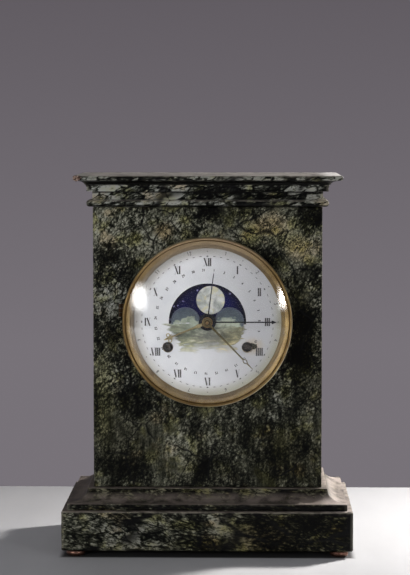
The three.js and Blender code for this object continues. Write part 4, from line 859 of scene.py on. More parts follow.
def enamel_finish():
    """White enamel with its painting, glossy in blotches, duller where painted, sunk along hair cracks."""
    made, mix, shader = finish("white_enamel")
    place = mix.on_dial()
    mottle = mix.noise(place, 60.0, 4.0)
    hairs = mix.fade(mix.cracks(mix.shifted(place, 0.02, 18.0), 24.0), 0.006, 0.0, 0.35)
    hairs = mix.times(hairs, mix.fade(mix.noise(place, 26.0), 0.54, 0.62))
    colour, painted = painted_clouds(mix, place, white_ground(mix, place, mottle, hairs))
    mix.wire(shader.inputs["Base Color"], colour)
    mix.wire(shader.inputs["Roughness"], mix.scaled(painted, 0.15, mix.scaled(mottle, 0.2, 0.08)))
    mix.bumped(shader, mix.scaled(mottle, 0.2, mix.times(hairs, -1.0)), 0.1, 0.0002)
    return made


SKY_TONES = [(0.3, (0.0022, 0.0026, 0.034)), (0.7, (0.0042, 0.0046, 0.064))]
SKY_EDGE = (0.003, 0.003, 0.010)
STAR = (0.26, 0.25, 0.45)
MOON_TONES = [(0.36, (0.32, 0.34, 0.32)), (0.50, (0.46, 0.48, 0.46)), (0.62, (0.62, 0.63, 0.61))]
MOON_YELLOW = (0.60, 0.57, 0.37)


def moon_finish():
    """Night sky in deep blue, darker toward its edge, and two pale blotched moons on opposite sides.

    The stars are the middles of small cells, lit where a second noise is high."""
    made, mix, shader = finish("painted_sky")
    place = mix.on_dial()
    flat = mix.vector("MULTIPLY", place, (1, 0, 1))
    wash = mix.noise(place, 90.0, 4.0, 0.6)
    colour = mix.ramp(wash, *SKY_TONES)
    colour = mix.blend(mix.fade(mix.axis_radius(), 0.029, 0.0385, 0.9), colour, SKY_EDGE)
    dot = mix.fade(mix.pebbles(flat, 165.0)[0], 0.22, 0.10)
    lit = mix.fade(mix.noise(flat, 190.0, 1.0), 0.47, 0.52, 0.85)
    colour = mix.blend(mix.times(dot, lit), colour, STAR)
    moon = 0.0
    angle = math.radians(MOON_ANGLE)
    for reach in (HUMP_AT * MM, -HUMP_AT * MM):
        away = mix.distance(flat, (reach * math.sin(angle), 0, reach * math.cos(angle)))
        moon = mix.most(moon, mix.fade(away, (MOON_RADIUS + 0.3) * MM, (MOON_RADIUS - 0.3) * MM))
    face = mix.ramp(mix.noise(place, 150.0, 3.0, 0.6, 0.4), *MOON_TONES)
    face = mix.blend(mix.fade(mix.noise(place, 210.0, 2.0), 0.52, 0.64, 0.75), face, MOON_YELLOW)
    mix.wire(shader.inputs["Base Color"], mix.blend(moon, colour, face))
    shader.inputs["Roughness"].default_value = 0.6
    shader.inputs["Specular IOR Level"].default_value = 0.02
    mix.bumped(shader, wash, 0.08, 0.0002)
    return made


PAINT_TONES = [(0.4, (0.022, 0.022, 0.026)), (0.7, (0.10, 0.095, 0.09))]


def paint_finish():
    """Fired black paint of the figures, a little worn to brown by noise."""
    made, mix, shader = finish("black_paint")
    mix.wire(shader.inputs["Base Color"], mix.ramp(mix.noise(mix.here(), 900.0, 3.0), *PAINT_TONES))
    shader.inputs["Roughness"].default_value = 0.35
    return made


def glass_finish():
    """Old blown glass, clear, its faces a little uneven by broad noise."""
    made, mix, shader = finish("domed_glass")
    shader.inputs["Base Color"].default_value = (1.0, 1.0, 1.0, 1)
    shader.inputs["Transmission Weight"].default_value = 1.0
    shader.inputs["IOR"].default_value = 1.5
    shader.inputs["Roughness"].default_value = 0.05
    mix.bumped(shader, mix.noise(mix.here(), 14.0, 1.0), 0.02, 0.001)
    return made


# Shards as (cells per metre, least share everywhere, spread of tone, lift of tone)
MARBLE = marble_finish("body_marble", BODY_PATCHES, (190.0, 0.2, 0.44, -0.14),
                       -60, 1.4, 0.022, BROWN_DUST, 0.6)
PLINTH_MARBLE = marble_finish("plinth_marble", PLINTH_PATCHES, (130.0, 0.3, 0.24, -0.03),
                              10, 2.3, 0.08, BROWN_DUST)
FRIEZE_MARBLE = marble_finish("frieze_marble", FRIEZE_PATCHES, (125.0, 1.0, 0.48, -0.12),
                              -18, 2.2, 0.11, PALE_DUST)
BRASS = brass_finish("aged_brass", (0.52, 0.36, 0.160), (0.28, 0.175, 0.074))
TURNED_BRASS = brass_finish("turned_brass", (0.41, 0.285, 0.120), (0.26, 0.172, 0.070), True,
                            [(GROOVE_RADIUS, 0.8)])
GILT = brass_finish("gilt_brass", (0.60, 0.515, 0.295), (0.34, 0.275, 0.135),
                    grooves=[(2.2, 0.5), (4.1, 0.3), (5.4, 0.35)], bronze=5.8)
TARNISHED_GILT = brass_finish("tarnished_gilt", (0.22, 0.182, 0.092), (0.115, 0.090, 0.040))
COPPER = brass_finish("reddened_copper", (0.36, 0.200, 0.150), (0.18, 0.090, 0.066))
STEEL = steel_finish("filed_steel", (0.42, 0.42, 0.43), (0.25, 0.24, 0.24), 0.25, 0.5)
OILY = steel_finish("oily_steel", (0.150, 0.118, 0.100), (0.060, 0.046, 0.038), 0.35, 0.6)
BLUED = steel_finish("blued_steel", (0.030, 0.034, 0.050), (0.016, 0.015, 0.018), 0.25, 0.45)
ENAMEL = enamel_finish()
SKY = moon_finish()
PAINT = paint_finish()
GLASS = glass_finish()
SLOT_FINISH = {"marble": MARBLE, "brass": BRASS, "gilt": GILT, "blued_steel": BLUED, "steel": STEEL,
               "enamel": ENAMEL, "painted_disc": SKY, "glass": GLASS, "copper": COPPER}
for row in frame["record"]["subparts"]:
    solid = frame["nodes"][row["node"]]
    solid.data.materials.clear()
    oily = "winding_arbor" in row["node"]
    solid.data.materials.append(OILY if oily else SLOT_FINISH[row["material_slot"]])


# Stone case
def stone(name, made, cut=MARBLE):
    """A stone piece of the case with its fields of wear, dust, dark dirt with painted shade, and breakage."""
    surface, fields = made
    return piece(name, surface, "case", "marble", cut, crease=40, **fields)


def arc_rows(steps, out, height):
    """Rows of (projection, height), each a formula of an angle that runs over the given steps."""
    return np.stack([out(steps), height(steps)], 1).tolist()


# The plinth is a block with small chamfers
PLINTH = [(-PLINTH_ARRIS, 0), (0, PLINTH_ARRIS), (0, PLINTH_HEIGHT - PLINTH_ARRIS),
          (-PLINTH_ARRIS, PLINTH_HEIGHT)]
PLINTH_STONE = course(PLINTH, PLINTH[2:], BODY_X + PLINTH_OUT, BODY_Y + PLINTH_OUT, PLINTH_FOOT, 3)
stone("plinth", PLINTH_STONE, PLINTH_MARBLE)

# The base is a fillet, a cove as a quarter ellipse, and a low ledge
BASE_HEIGHT = FILLET_HEIGHT + COVE_HEIGHT
COVE = arc_rows(
    np.linspace(0, QUARTER, 12),
    lambda angle: LEDGE + (BASE_OUT - 1.6 - LEDGE) * (1 - np.sin(angle)),
    lambda angle: FILLET_HEIGHT + COVE_HEIGHT * 0.94 * (1 - np.cos(angle)),
)
BASE = [(BASE_OUT - 0.3, 0), (BASE_OUT, 0.4), (BASE_OUT, FILLET_HEIGHT - 0.5),
        (BASE_OUT - 0.5, FILLET_HEIGHT), *COVE, (LEDGE, BASE_HEIGHT - 0.3), (LEDGE - 0.3, BASE_HEIGHT)]
BASE_ARRISES = [(BASE_OUT, FILLET_HEIGHT), (LEDGE, BASE_HEIGHT)]
stone("base_moulding", course(BASE, BASE_ARRISES, BODY_X, BODY_Y, BASE_FOOT, 11), PLINTH_MARBLE)

# The frieze is a flattened half round, a flat and a quarter-round bed under the top slab
BED_FOOT = BAND_HEIGHT + FRIEZE_HEIGHT
BAND = arc_rows(
    np.linspace(-QUARTER, QUARTER, 10),
    lambda angle: 1.2 + (BAND_OUT - 1.2) * np.cos(angle) ** 0.6,
    lambda angle: BAND_HEIGHT / 2 * (1 + np.sin(angle)),
)
BED = arc_rows(
    np.linspace(0, QUARTER, 8),
    lambda angle: BAND_OUT - 0.4 + (BED_OUT - BAND_OUT + 0.4) * (1 - np.cos(angle)),
    lambda angle: BED_FOOT + 1.6 + (BED_HEIGHT - 1.6) * np.sin(angle),
)
FRIEZE = [*BAND, (0.5, BAND_HEIGHT + 0.2), (0.5, BED_FOOT - 0.1), (BAND_OUT - 0.6, BED_FOOT),
          (BAND_OUT - 0.4, BED_FOOT + 0.4), *BED]
FRIEZE_JOINTS = [(0.5, BED_FOOT - 0.4), BAND[0], BAND[2], FRIEZE[-1]]
FRIEZE_STONE = course(FRIEZE, [(BAND_OUT - 1, BAND_HEIGHT - 1)], BODY_X, BODY_Y, FRIEZE_FOOT, 23, film=0.12,
                      joints=FRIEZE_JOINTS)
stone("frieze_slab", FRIEZE_STONE, FRIEZE_MARBLE)

# The top slab has a shallow cove under a rounded edge
TOP = [(BED_OUT, 0), (BED_OUT + 0.8, 1.2), (BED_OUT + 2.6, 2.4), (BED_OUT + 6.0, TOP_COVE),
       (TOP_OUT - 1.4, TOP_COVE + 0.5), (TOP_OUT - 0.4, TOP_COVE + 1.0),
       (TOP_OUT, TOP_COVE + 0.35 * TOP_EDGE), (TOP_OUT, TOP_HIGH - 0.3 * TOP_EDGE),
       (TOP_OUT - 0.5, TOP_HIGH - 0.5), (TOP_OUT - 1.4, TOP_HIGH)]


def broken_corner(made):
    """The front left corner of the top slab is knocked off.

    Points past a slanting plane, made rough by two sizes of noise, go back onto it."""
    (points, faces), fields = made
    corner = np.array([-BODY_X - TOP_OUT, -BODY_Y - TOP_OUT, TOP_FOOT + TOP_HIGH])
    way = np.array([-0.75, -0.45, 0.30])
    way /= np.linalg.norm(way)
    rough = (grain(points, 3.0, 41) - 0.5) * 2.2 + (grain(points, 1.2, 42) - 0.5) * 0.8
    past = (points - corner) @ way + BREAK_DEPTH + rough
    points = points - np.clip(past, 0, None)[:, None] * way
    broken = np.clip(past * 1.5, 0, 1) * (0.6 + 0.4 * grain(points, 4.0, 43))
    kept = {field: values * (1 - broken) for field, values in fields.items()}
    return (points, faces), {**kept, "broken": broken}


TOP_STONE = course(TOP, [TOP[-2]], BODY_X, BODY_Y, TOP_FOOT, 31, settle=0.8, joints=TOP[:4])
stone("top_slab", broken_corner(TOP_STONE), FRIEZE_MARBLE)
stone("front_slab", pierced_slab(FACE, FACE + FRONT_WALL, 51))
stone("back_slab", pierced_slab(BACK, BACK - BACK_WALL, 57))

# Each side slab is a course laid along Y between front and back
SIDE_FRONT = FACE + FRONT_WALL
SIDE_BACK = BACK - BACK_WALL
SIDE_HALF = (SIDE_BACK - SIDE_FRONT) / 2 - CEMENT
SIDE_MIDDLE = (SIDE_BACK + SIDE_FRONT) / 2
SIDE = [(-0.3, 0), (0, 0.3), (0, BODY_HEIGHT - 0.3), (-0.3, BODY_HEIGHT)]
for side_name, side_way, side_seed in (("left_slab", -1, 61), ("right_slab", 1, 67)):
    side_surface, side_fields = course(SIDE, [SIDE[0], SIDE[3]], SIDE_HALF, SIDE_WALL / 2, BODY_FOOT,
                                       side_seed, corner_round=0.3)
    laid = side_surface[0][:, [1, 0, 2]] * (side_way, 1, 1)
    laid += (side_way * (BODY_X - SIDE_WALL / 2), SIDE_MIDDLE, 0)
    stone(side_name, ((laid, side_surface[1]), {"wear": side_fields["wear"] * 0.4}))

FOOT = eased([(0, 0), (0.82 * FOOT_RADIUS, 0), (FOOT_RADIUS, 0.42 * FOOT_HEIGHT),
              (0.9 * FOOT_RADIUS, 0.85 * FOOT_HEIGHT), (0.7 * FOOT_RADIUS, FOOT_HEIGHT), (0, FOOT_HEIGHT)],
             1.6, 6, closed=False)
for foot_place, foot_y in (("front", -FOOT_Y), ("back", FOOT_Y)):
    for foot_side, foot_x in (("left", -FOOT_X), ("right", FOOT_X)):
        foot_name = "foot_" + foot_place + "_" + foot_side
        piece(foot_name, turned_upright(FOOT, foot_x, foot_y), "case", "copper", COPPER)


# Rings, bezel and glass
def knuckle(x, y, low, high, rim, lug_front, lug_back):
    """A hinge knuckle with rounded ends, and the lug from it into a ring's rim, a plain box."""
    profile = eased([(0, low), (KNUCKLE_RADIUS, low), (KNUCKLE_RADIUS, high), (0, high)], 0.4, 4, False)
    barrel = turned_upright(profile, x, y, 32)
    corners = np.array(list(itertools.product((x, 3 - rim), (lug_front, lug_back), (low + 0.1, high - 0.1))))
    faces = np.array([[0, 1, 3, 2], [4, 6, 7, 5], [0, 4, 5, 1], [2, 3, 7, 6], [0, 2, 6, 4], [1, 5, 7, 3]])
    return barrel, (corners, faces)


def flanged_ring(flange, face, depth):
    """Profile of a ring in the stone's opening with a flange that lies on the face."""
    return eased([(RING_INNER, flange), (FLANGE_RADIUS, flange), (FLANGE_RADIUS, face), (RING_OUTER, face),
                  (RING_OUTER, depth), (RING_INNER, depth)], 0.4)


HINGE_Z = DIAL_Z + HINGE_UP
HALF_KNUCKLE = KNUCKLE_LENGTH / 2
LUG_DEPTH = 1.2
LUG_RISE = 1.4
front_knuckles = []
back_knuckles = []
for knuckle_way in (-1, 1):
    ends = sorted(knuckle_way * (HALF_KNUCKLE + SEAT + at) for at in (0, KNUCKLE_LENGTH))
    front_knuckles += knuckle(HINGE_X, HINGE_Y, HINGE_Z + ends[0], HINGE_Z + ends[1], FLANGE_RADIUS, HINGE_Y,
                              FLANGE_FRONT + LUG_DEPTH)
    back_knuckles += knuckle(DOOR_HINGE_X, DOOR_HINGE_Y, DIAL_Z + ends[0], DIAL_Z + ends[1], FLANGE_RADIUS,
                             BACK_FLANGE - LUG_DEPTH, DOOR_HINGE_Y)
FRONT_RING = turned(flanged_ring(FLANGE_FRONT, FACE - CEMENT, FACE + RING_DEPTH), 0, DIAL_Z)
piece("front_ring", joined(FRONT_RING, *front_knuckles), "case", "brass", TURNED_BRASS)

# The bezel runs from its rabbet out over the rim, grooved in its side, to the lip that holds the glass
BEZEL_ROWS = [(0, 3.4), (-0.5, 3.0), (-0.5, 2.4), (0, 1.9), (-0.3, 0.5), (-1.3, 0), (-2.3, 0.5), (-2.7, 1.1)]
BEZEL = eased([(RABBET, BEZEL_BACK), (BEZEL_RADIUS, BEZEL_BACK),
               *((BEZEL_RADIUS + out, BEZEL_FRONT + back) for out, back in BEZEL_ROWS),
               (LIP, BEZEL_FRONT + 0.8), (LIP, BEZEL_FRONT + 1.4), (RABBET, BEZEL_FRONT + 1.4)], 0.5, 5)
bezel_knuckle = knuckle(HINGE_X, HINGE_Y, HINGE_Z - HALF_KNUCKLE, HINGE_Z + HALF_KNUCKLE, BEZEL_RADIUS + 2,
                        HINGE_Y - LUG_RISE, BEZEL_BACK - 0.2)
piece("bezel", joined(turned(BEZEL, 0, DIAL_Z, 256), *bezel_knuckle), "bezel", "brass", TURNED_BRASS)

SLOPE = eased([(SIGHT_RADIUS, SLOPE_BACK - 0.7), (SIGHT_RADIUS + 3.0, SLOPE_BACK - 2.3),
               (SIGHT_RADIUS + 3.4, SLOPE_BACK - 3.0), (GLASS_RADIUS - 0.6, SLOPE_FRONT),
               (GLASS_RADIUS, SLOPE_FRONT + 0.7), (SIGHT_RADIUS + 0.4, SLOPE_BACK)], 0.25, 4)
piece("sloping_ring", turned(SLOPE, 0, DIAL_Z, 256), "bezel", "brass", TURNED_BRASS)

# The glass is a shallow dome: its level falls back with the square of the radius, on both faces
glass_share = np.linspace(0, 1, 40)
glass_level = GLASS_EDGE - GLASS_RISE * (1 - glass_share**2)
GLASS_PROFILE = np.concatenate([
    np.stack([glass_share * GLASS_RADIUS, glass_level], 1),
    np.stack([glass_share * GLASS_RADIUS, glass_level + GLASS_THICKNESS], 1)[::-1],
])
glass = piece("glass", turned(GLASS_PROFILE, 0, DIAL_Z, closed=False), "bezel", "glass", GLASS)
glass.visible_shadow = False


# Dial
def dial_level(radius):
    """Level of the enamel's face: a shallow dome, which falls back with the square of the radius."""
    return DIAL_CROWN + DIAL_RISE * (radius / DIAL_RADIUS) ** 2


def ring_points(radius, steps, x=0.0, z=0.0, start=0.0, sweep=TURN):
    """Points on an arc about x, z, from a start angle through a sweep. A whole turn leaves out its end."""
    angle = start + np.linspace(0, sweep, steps, endpoint=abs(sweep) < TURN)
    return np.stack([x + radius * np.cos(angle), z + radius * np.sin(angle)], 1)


def moon_outline():
    """The moon opening: an arch that runs a little below the centre, two humps and the boss between."""
    boss = HUMP_AT - HUMP_RADIUS
    arch_drop = math.asin(MOON_DROP / MOON_OPENING)
    hump_drop = math.asin(MOON_DROP / HUMP_RADIUS)
    parts = [ring_points(MOON_OPENING, 96, start=-arch_drop, sweep=math.pi + 2 * arch_drop),
             ring_points(HUMP_RADIUS, 44, -HUMP_AT, 0, math.pi + hump_drop, -math.pi - hump_drop),
             ring_points(boss, 20, 0, 0, math.pi, -math.pi)[1:-1],
             ring_points(HUMP_RADIUS, 44, HUMP_AT, 0, math.pi, -math.pi - hump_drop)]
    return np.concatenate(parts)


def inside_moon(x, z):
    """True in the arch above its foot, outside humps and boss, and not in the nicks under the boss."""
    reach = np.hypot(x, z)
    humps = np.hypot(np.abs(x) - HUMP_AT, z) < HUMP_RADIUS
    above = (z > 0) | ((z > -MOON_DROP) & (np.abs(x) > HUMP_AT))
    return above & (reach < MOON_OPENING) & ~humps & (reach > HUMP_AT - HUMP_RADIUS)


def dial_sheet():
    """The enamel: a triangulated disc with openings, laid on the dome, with a back face and edge walls.

    Rings of points fill the disc between its outlines, and an edge is a side that only one triangle has."""
    loops = [ring_points(DIAL_RADIUS, 240), ring_points(DIAL_HOLE, 40), moon_outline(),
             ring_points(WIND_HOLE, 48, WIND_X, WIND_Z), ring_points(WIND_HOLE, 48, -WIND_X, WIND_Z)]
    points = []
    edges = []
    for loop in loops:
        start = sum(map(len, points))
        index = np.arange(len(loop))
        edges.append(np.stack([index, np.roll(index, -1)], 1) + start)
        points.append(loop)
    rings = [ring_points(at, max(24, int(at * 1.6)), start=at) for at in np.arange(9.5, 73.5, 3.4)]
    fill = np.concatenate(rings)
    close = np.min(np.linalg.norm(fill[:, None] - np.concatenate(loops)[None], axis=2), axis=1)
    points.append(fill[close > 1.0])
    flat = [Vector(p) for p in np.concatenate(points)]
    made = delaunay_2d_cdt(flat, np.concatenate(edges).tolist(), [], 0, 1e-6)
    plan = np.array([tuple(v) for v in made[0]])
    faces = np.array(made[2])
    middle = plan[faces].mean(1)
    reach = np.hypot(middle[:, 0], middle[:, 1])
    keep = (reach < DIAL_RADIUS) & (reach > DIAL_HOLE) & ~inside_moon(middle[:, 0], middle[:, 1])
    for side in (-1, 1):
        keep &= np.hypot(middle[:, 0] - side * WIND_X, middle[:, 1] - WIND_Z) > WIND_HOLE
    faces = faces[keep]
    count = len(plan)
    level = dial_level(np.hypot(plan[:, 0], plan[:, 1]))
    front = np.stack([plan[:, 0], level, plan[:, 1] + DIAL_Z], 1)
    back = front + (0, DIAL_THICKNESS, 0)
    sides = np.concatenate([faces[:, [0, 1]], faces[:, [1, 2]], faces[:, [2, 0]]])
    _, where, times = np.unique(np.sort(sides, 1), axis=0, return_inverse=True, return_counts=True)
    rim = sides[times[where.ravel()] == 1]
    walls = np.stack([rim[:, 1], rim[:, 0], rim[:, 0] + count, rim[:, 1] + count], 1)
    all_faces = faces.tolist() + (faces[:, ::-1] + count).tolist() + walls.tolist()
    return np.concatenate([front, back]), all_faces


piece("dial", dial_sheet(), "case", "enamel", ENAMEL, crease=30)


# Figures of the dial: flat strokes of fired paint, each from one point to another with a width
def strokes_surface(strokes):
    """Each stroke (x0, z0, x1, z1, width) is a thin six-sided slab that follows the dome of the enamel."""
    s = np.asarray(strokes, float)
    a = s[:, 0:2]
    b = s[:, 2:4]
    along = b - a
    along /= np.maximum(np.linalg.norm(along, axis=1, keepdims=True), 1e-9)
    across = np.stack([-along[:, 1], along[:, 0]], 1) * s[:, 4:5] / 2
    plan = np.stack([a - across, b - across, b + across, a + across], 1)
    level = dial_level(np.hypot(plan[..., 0], plan[..., 1]))
    top = np.stack([plan[..., 0], level - PAINT_HEIGHT, plan[..., 1] + DIAL_Z], -1)
    low = top + (0, PAINT_HEIGHT + PAINT_SINK, 0)
    points = np.concatenate([top, low], 1)
    box = np.array([[0, 1, 2, 3], [4, 7, 6, 5], [0, 4, 5, 1], [1, 5, 6, 2], [2, 6, 7, 3], [3, 7, 4, 0]])
    faces = box[None] + 8 * np.arange(len(s))[:, None, None]
    return points.reshape(-1, 3), faces.reshape(-1, 4)


THICK = 1.42
THIN = 0.18
SERIF = 0.17
# Letters of the hours as (x0, z0, x1, z1, width) on a cell of unit height, and their advance
LETTERS = {
    "I": ([(0, -0.5, 0, 0.5, THICK), (-0.12, 0.5, 0.12, 0.5, SERIF),
           (-0.12, -0.5, 0.12, -0.5, SERIF)], 0.235),
    "V": ([(-0.16, 0.5, 0.05, -0.5, THICK), (0.22, 0.5, 0.08, -0.5, THIN), (-0.28, 0.5, -0.04, 0.5, SERIF),
           (0.12, 0.5, 0.30, 0.5, SERIF)], 0.52),
    "X": ([(-0.17, 0.5, 0.17, -0.5, THICK), (0.18, 0.5, -0.18, -0.5, THIN), (-0.28, 0.5, -0.06, 0.5, SERIF),
           (0.08, 0.5, 0.28, 0.5, SERIF), (-0.28, -0.5, -0.08, -0.5, SERIF),
           (0.06, -0.5, 0.28, -0.5, SERIF)], 0.54),
}
HOURS = ["XII", "I", "II", "III", "IIII", "V", "VI", "VII", "VIII", "IX", "X", "XI"]
# Small figures as runs of points on a cell one high and 0.6 wide
DIGITS = {
    "0": [(0.3, 0), (0.08, 0.2), (0.08, 0.8), (0.3, 1), (0.52, 0.8), (0.52, 0.2), (0.3, 0)],
    "1": [(0.12, 0.8), (0.32, 1), (0.32, 0)],
    "2": [(0.06, 0.76), (0.3, 1), (0.54, 0.74), (0.06, 0), (0.56, 0)],
    "3": [(0.08, 0.94), (0.5, 0.94), (0.26, 0.58), (0.54, 0.3), (0.3, 0), (0.06, 0.16)],
    "4": [(0.44, 0), (0.44, 1), (0.04, 0.3), (0.58, 0.3)],
    "5": [(0.52, 1), (0.12, 1), (0.1, 0.56), (0.5, 0.5), (0.5, 0.12), (0.06, 0.04)],
    "6": [(0.5, 0.94), (0.14, 0.6), (0.08, 0.2), (0.3, 0), (0.54, 0.24), (0.3, 0.48), (0.1, 0.34)],
    "7": [(0.06, 1), (0.56, 1), (0.2, 0)],
    "8": [(0.3, 0.54), (0.08, 0.76), (0.3, 1), (0.52, 0.76), (0.3, 0.54), (0.06, 0.26), (0.3, 0),
          (0.54, 0.26), (0.3, 0.54)],
    "9": [(0.1, 0.06), (0.46, 0.4), (0.52, 0.8), (0.3, 1), (0.06, 0.76), (0.3, 0.52), (0.5, 0.66)],
}


def clock_point(radius, degrees):
    """A point on the dial at an angle clockwise from twelve."""
    angle = math.radians(degrees)
    return np.array([radius * math.sin(angle), radius * math.cos(angle)])


def hour_strokes():
    """The twelve hours upright on their circle, each word's letters set side by side about its middle."""
    made = []
    for hour, word in enumerate(HOURS):
        middle = clock_point(HOUR_RING, 30 * hour)
        widths = [LETTERS[letter][1] for letter in word]
        at = -sum(widths) / 2
        for letter, width in zip(word, widths):
            at += width / 2
            for x0, z0, x1, z1, thick in LETTERS[letter][0]:
                ends = np.array([x0 + at, z0, x1 + at, z1]) * FIGURE_HEIGHT
                made.append([*(ends[:2] + middle), *(ends[2:] + middle), thick])
            at += width / 2
    return made


def number_strokes(text, radius, degrees, height, width):
    """A small number standing radially, its foot toward the centre."""
    middle = clock_point(radius, degrees)
    up = clock_point(1, degrees)
    right = clock_point(1, degrees + 90)
    made = []
    for index, digit in enumerate(text):
        shift = (index - len(text) / 2) * 0.72 + 0.06
        run = np.array(DIGITS[digit])
        plan = middle + height * ((run[:, :1] + shift) * right + (run[:, 1:] - 0.5) * up)
        made += [[*a, *b, width] for a, b in zip(plan[:-1], plan[1:])]
    return made


def ring_strokes(radius, count, length, width):
    """Short dashes along a circle, evenly spaced from twelve."""
    made = []
    half = math.degrees(length / 2 / radius)
    for index in range(count):
        degrees = 360 * index / count
        made.append([*clock_point(radius, degrees - half), *clock_point(radius, degrees + half), width])
    return made


minute_marks = ring_strokes(MINUTE_RING, 60, 2.3, 0.55) + ring_strokes(MINUTE_RING, 12, 1.2, 1.2)
date_marks = []
for day in range(31):
    date_marks += number_strokes(str(day + 1), DATE_RING, DATE_ANGLE + 360 * day / 31, DATE_HEIGHT, 0.62)
month_marks = []
for month in range(12):
    month_marks += number_strokes(str(month + 1), MONTH_RING, 15 + 30 * month, MONTH_HEIGHT, 0.52)
month_marks += ring_strokes(MONTH_RING, 12, 0.9, 0.9)
for figures, strokes in (("hour_figures", hour_strokes()), ("minute_marks", minute_marks),
                         ("date_figures", date_marks), ("month_figures", month_marks)):
    piece(figures, strokes_surface(strokes), "case", "enamel", PAINT, added=True)


# Hands: drawn pointing up, then turned to their angle
def swept(path, widths, heights, back, sides=12):
    """A run of points carried as a flattened oval section, its width and thickness given along the run."""
    path = np.asarray(path, float)
    along = np.gradient(path, axis=0)
    along /= np.maximum(np.linalg.norm(along, axis=1, keepdims=True), 1e-9)
    across = np.stack([along[:, 1], -along[:, 0]], 1)
    angle = np.linspace(0, TURN, sides, endpoint=False)
    widths = np.broadcast_to(widths, len(path))[:, None]
    heights = np.broadcast_to(heights, len(path))[:, None]
    side = widths / 2 * np.cos(angle)
    rise = heights / 2 * np.sin(angle)
    plan = path[:, None] + side[..., None] * across[:, None]
    level = back - heights / 2 + rise
    points = np.stack([plan[..., 0], level, plan[..., 1]], -1)
    rings = grid_faces(len(path), sides, False, True)
    first = np.arange(sides)[::-1].tolist()
    last = (np.arange(sides) + (len(path) - 1) * sides).tolist()
    return points.reshape(-1, 3), rings.tolist() + [first, last]


def scroll(x, z, radius, start, sweep, steps, shrink=0.0):
    """Points on an arc in degrees, whose radius may shrink along the way."""
    t = np.linspace(0, 1, steps)
    angle = np.radians(start + sweep * t)
    reach = radius * (1 - shrink * t)
    return np.stack([x + reach * np.cos(angle), z + reach * np.sin(angle)], 1)


def pointed(surface, degrees):
    """A hand's surface turned clockwise from twelve about the dial axis and moved to it."""
    points, faces = surface
    angle = math.radians(degrees)
    x = points[:, 0] * math.cos(angle) + points[:, 2] * math.sin(angle)
    z = -points[:, 0] * math.sin(angle) + points[:, 2] * math.cos(angle)
    return np.stack([x, points[:, 1], z + DIAL_Z], 1), faces


def hub(radius, bore, back):
    """A hand's round middle: a turned ring with an eased front edge."""
    front = back - HAND_THICKNESS
    rows = [(bore, back), (radius, back), (radius, front + 0.25), (radius - 0.4, front), (bore, front)]
    return turned(eased(rows, 0.2, 3), 0, 0, 64)


def blade(outline, back, tip=0.45, steps=6):
    """A hand's stem along the axis: (half width, reach) rows filled in between, the last filed thinner."""
    rows = np.asarray(outline, float)
    t = np.linspace(0, 1, steps, endpoint=False)[None, :, None]
    run = (rows[:-1, None] + t * np.diff(rows, axis=0)[:, None]).reshape(-1, 2)
    run = np.concatenate([run, rows[-1:]])
    heights = np.interp(run[:, 1], [run[-steps, 1], run[-1, 1]], [HAND_THICKNESS, tip])
    return swept(np.stack([0 * run[:, 1], run[:, 1]], 1), 2 * run[:, 0], heights, back)


def minute_hand(back):
    """A tapering stem, a diamond drawn by two bent bars round an open eye, and a long fine tip."""
    parts = [hub(4.1, 2.35, back), blade([(1.15, 3.2), (0.7, 50.4)], back, HAND_THICKNESS),
             blade([(0.75, 55.4), (0.3, 64)], back)]
    for way in (-1, 1):
        side = eased([(0, 49.6), (way * 1.95, 53.2), (0, 56.6)], 1.2, 7, closed=False)
        parts.append(swept(side, 0.95, HAND_THICKNESS, back))
    return parts


def hour_hand(back):
    """A baluster stem under two round eyes side by side, scrolls at their shoulders and a short tip."""
    baluster = [(1.3, 4.2), (1.5, 7), (2, 9.5), (1.3, 12), (0.8, 14), (0.75, 36.4)]
    head = [(0.9, 36.2), (1.5, 38.4), (0.8, 40.4), (1.1, 42.6), (0.3, 46)]
    parts = [hub(5.4, 3.2, back), blade(baluster, back, HAND_THICKNESS), blade(head, back)]
    for way in (-1, 1):
        eye = scroll(way * 2.75, 40.5, 1.62, 0, 360, 30)
        shoulder = scroll(way * 1.6, 37.6, 1.0, 90 + way * 60, -way * 250, 18, 0.4)
        parts += [swept(eye, 0.95, HAND_THICKNESS, back), swept(shoulder, 0.6, HAND_THICKNESS, back)]
    return parts


def date_hand(back):
    """A plain needle from its hub to a fine point."""
    return [hub(6.8, 4.05, back), blade([(0.62, 6), (0.4, 47), (0.15, 49)], back)]


def month_hand(back):
    """A plain needle with a small arrow head."""
    needle = blade([(0.7, 7.6), (0.5, 63.4)], back, HAND_THICKNESS)
    return [hub(8.4, 4.9, back), needle, blade([(0.5, 62.9), (1.85, 63.3), (0.2, 67.7)], back, 0.4)]


HANDS = [("month", month_hand, MONTH_ANGLE, "blued_steel", BLUED),
         ("date", date_hand, DATE_ANGLE, "blued_steel", BLUED),
         ("hour", hour_hand, HOUR_ANGLE, "gilt", GILT),
         ("minute", minute_hand, MINUTE_ANGLE, "gilt", TARNISHED_GILT)]
for step, (hand, shape, hand_angle, hand_slot, hand_finish) in enumerate(HANDS):
    hand_parts = shape(MONTH_BACK - step * HAND_STEP)
    piece(hand + "_hand", pointed(joined(*hand_parts), hand_angle), hand, hand_slot, hand_finish, crease=50)
NUT_BACK = MONTH_BACK - 3 * HAND_STEP - HAND_THICKNESS - 0.5
NUT = eased([(1.35, NUT_BACK), (3, NUT_BACK), (2.8, NUT_BACK - 1.2), (1.9, NUT_BACK - 2.2),
             (1.35, NUT_BACK - 2.4)], 0.3)
piece("hand_nut", turned(NUT, 0, DIAL_Z, 64), "minute", "gilt", GILT)

# Back ring, door and bell
BACK_RING = turned(flanged_ring(BACK_FLANGE, BACK + CEMENT, BACK - RING_DEPTH), 0, DIAL_Z)
piece("back_ring", joined(BACK_RING, *back_knuckles), "case", "brass", TURNED_BRASS)

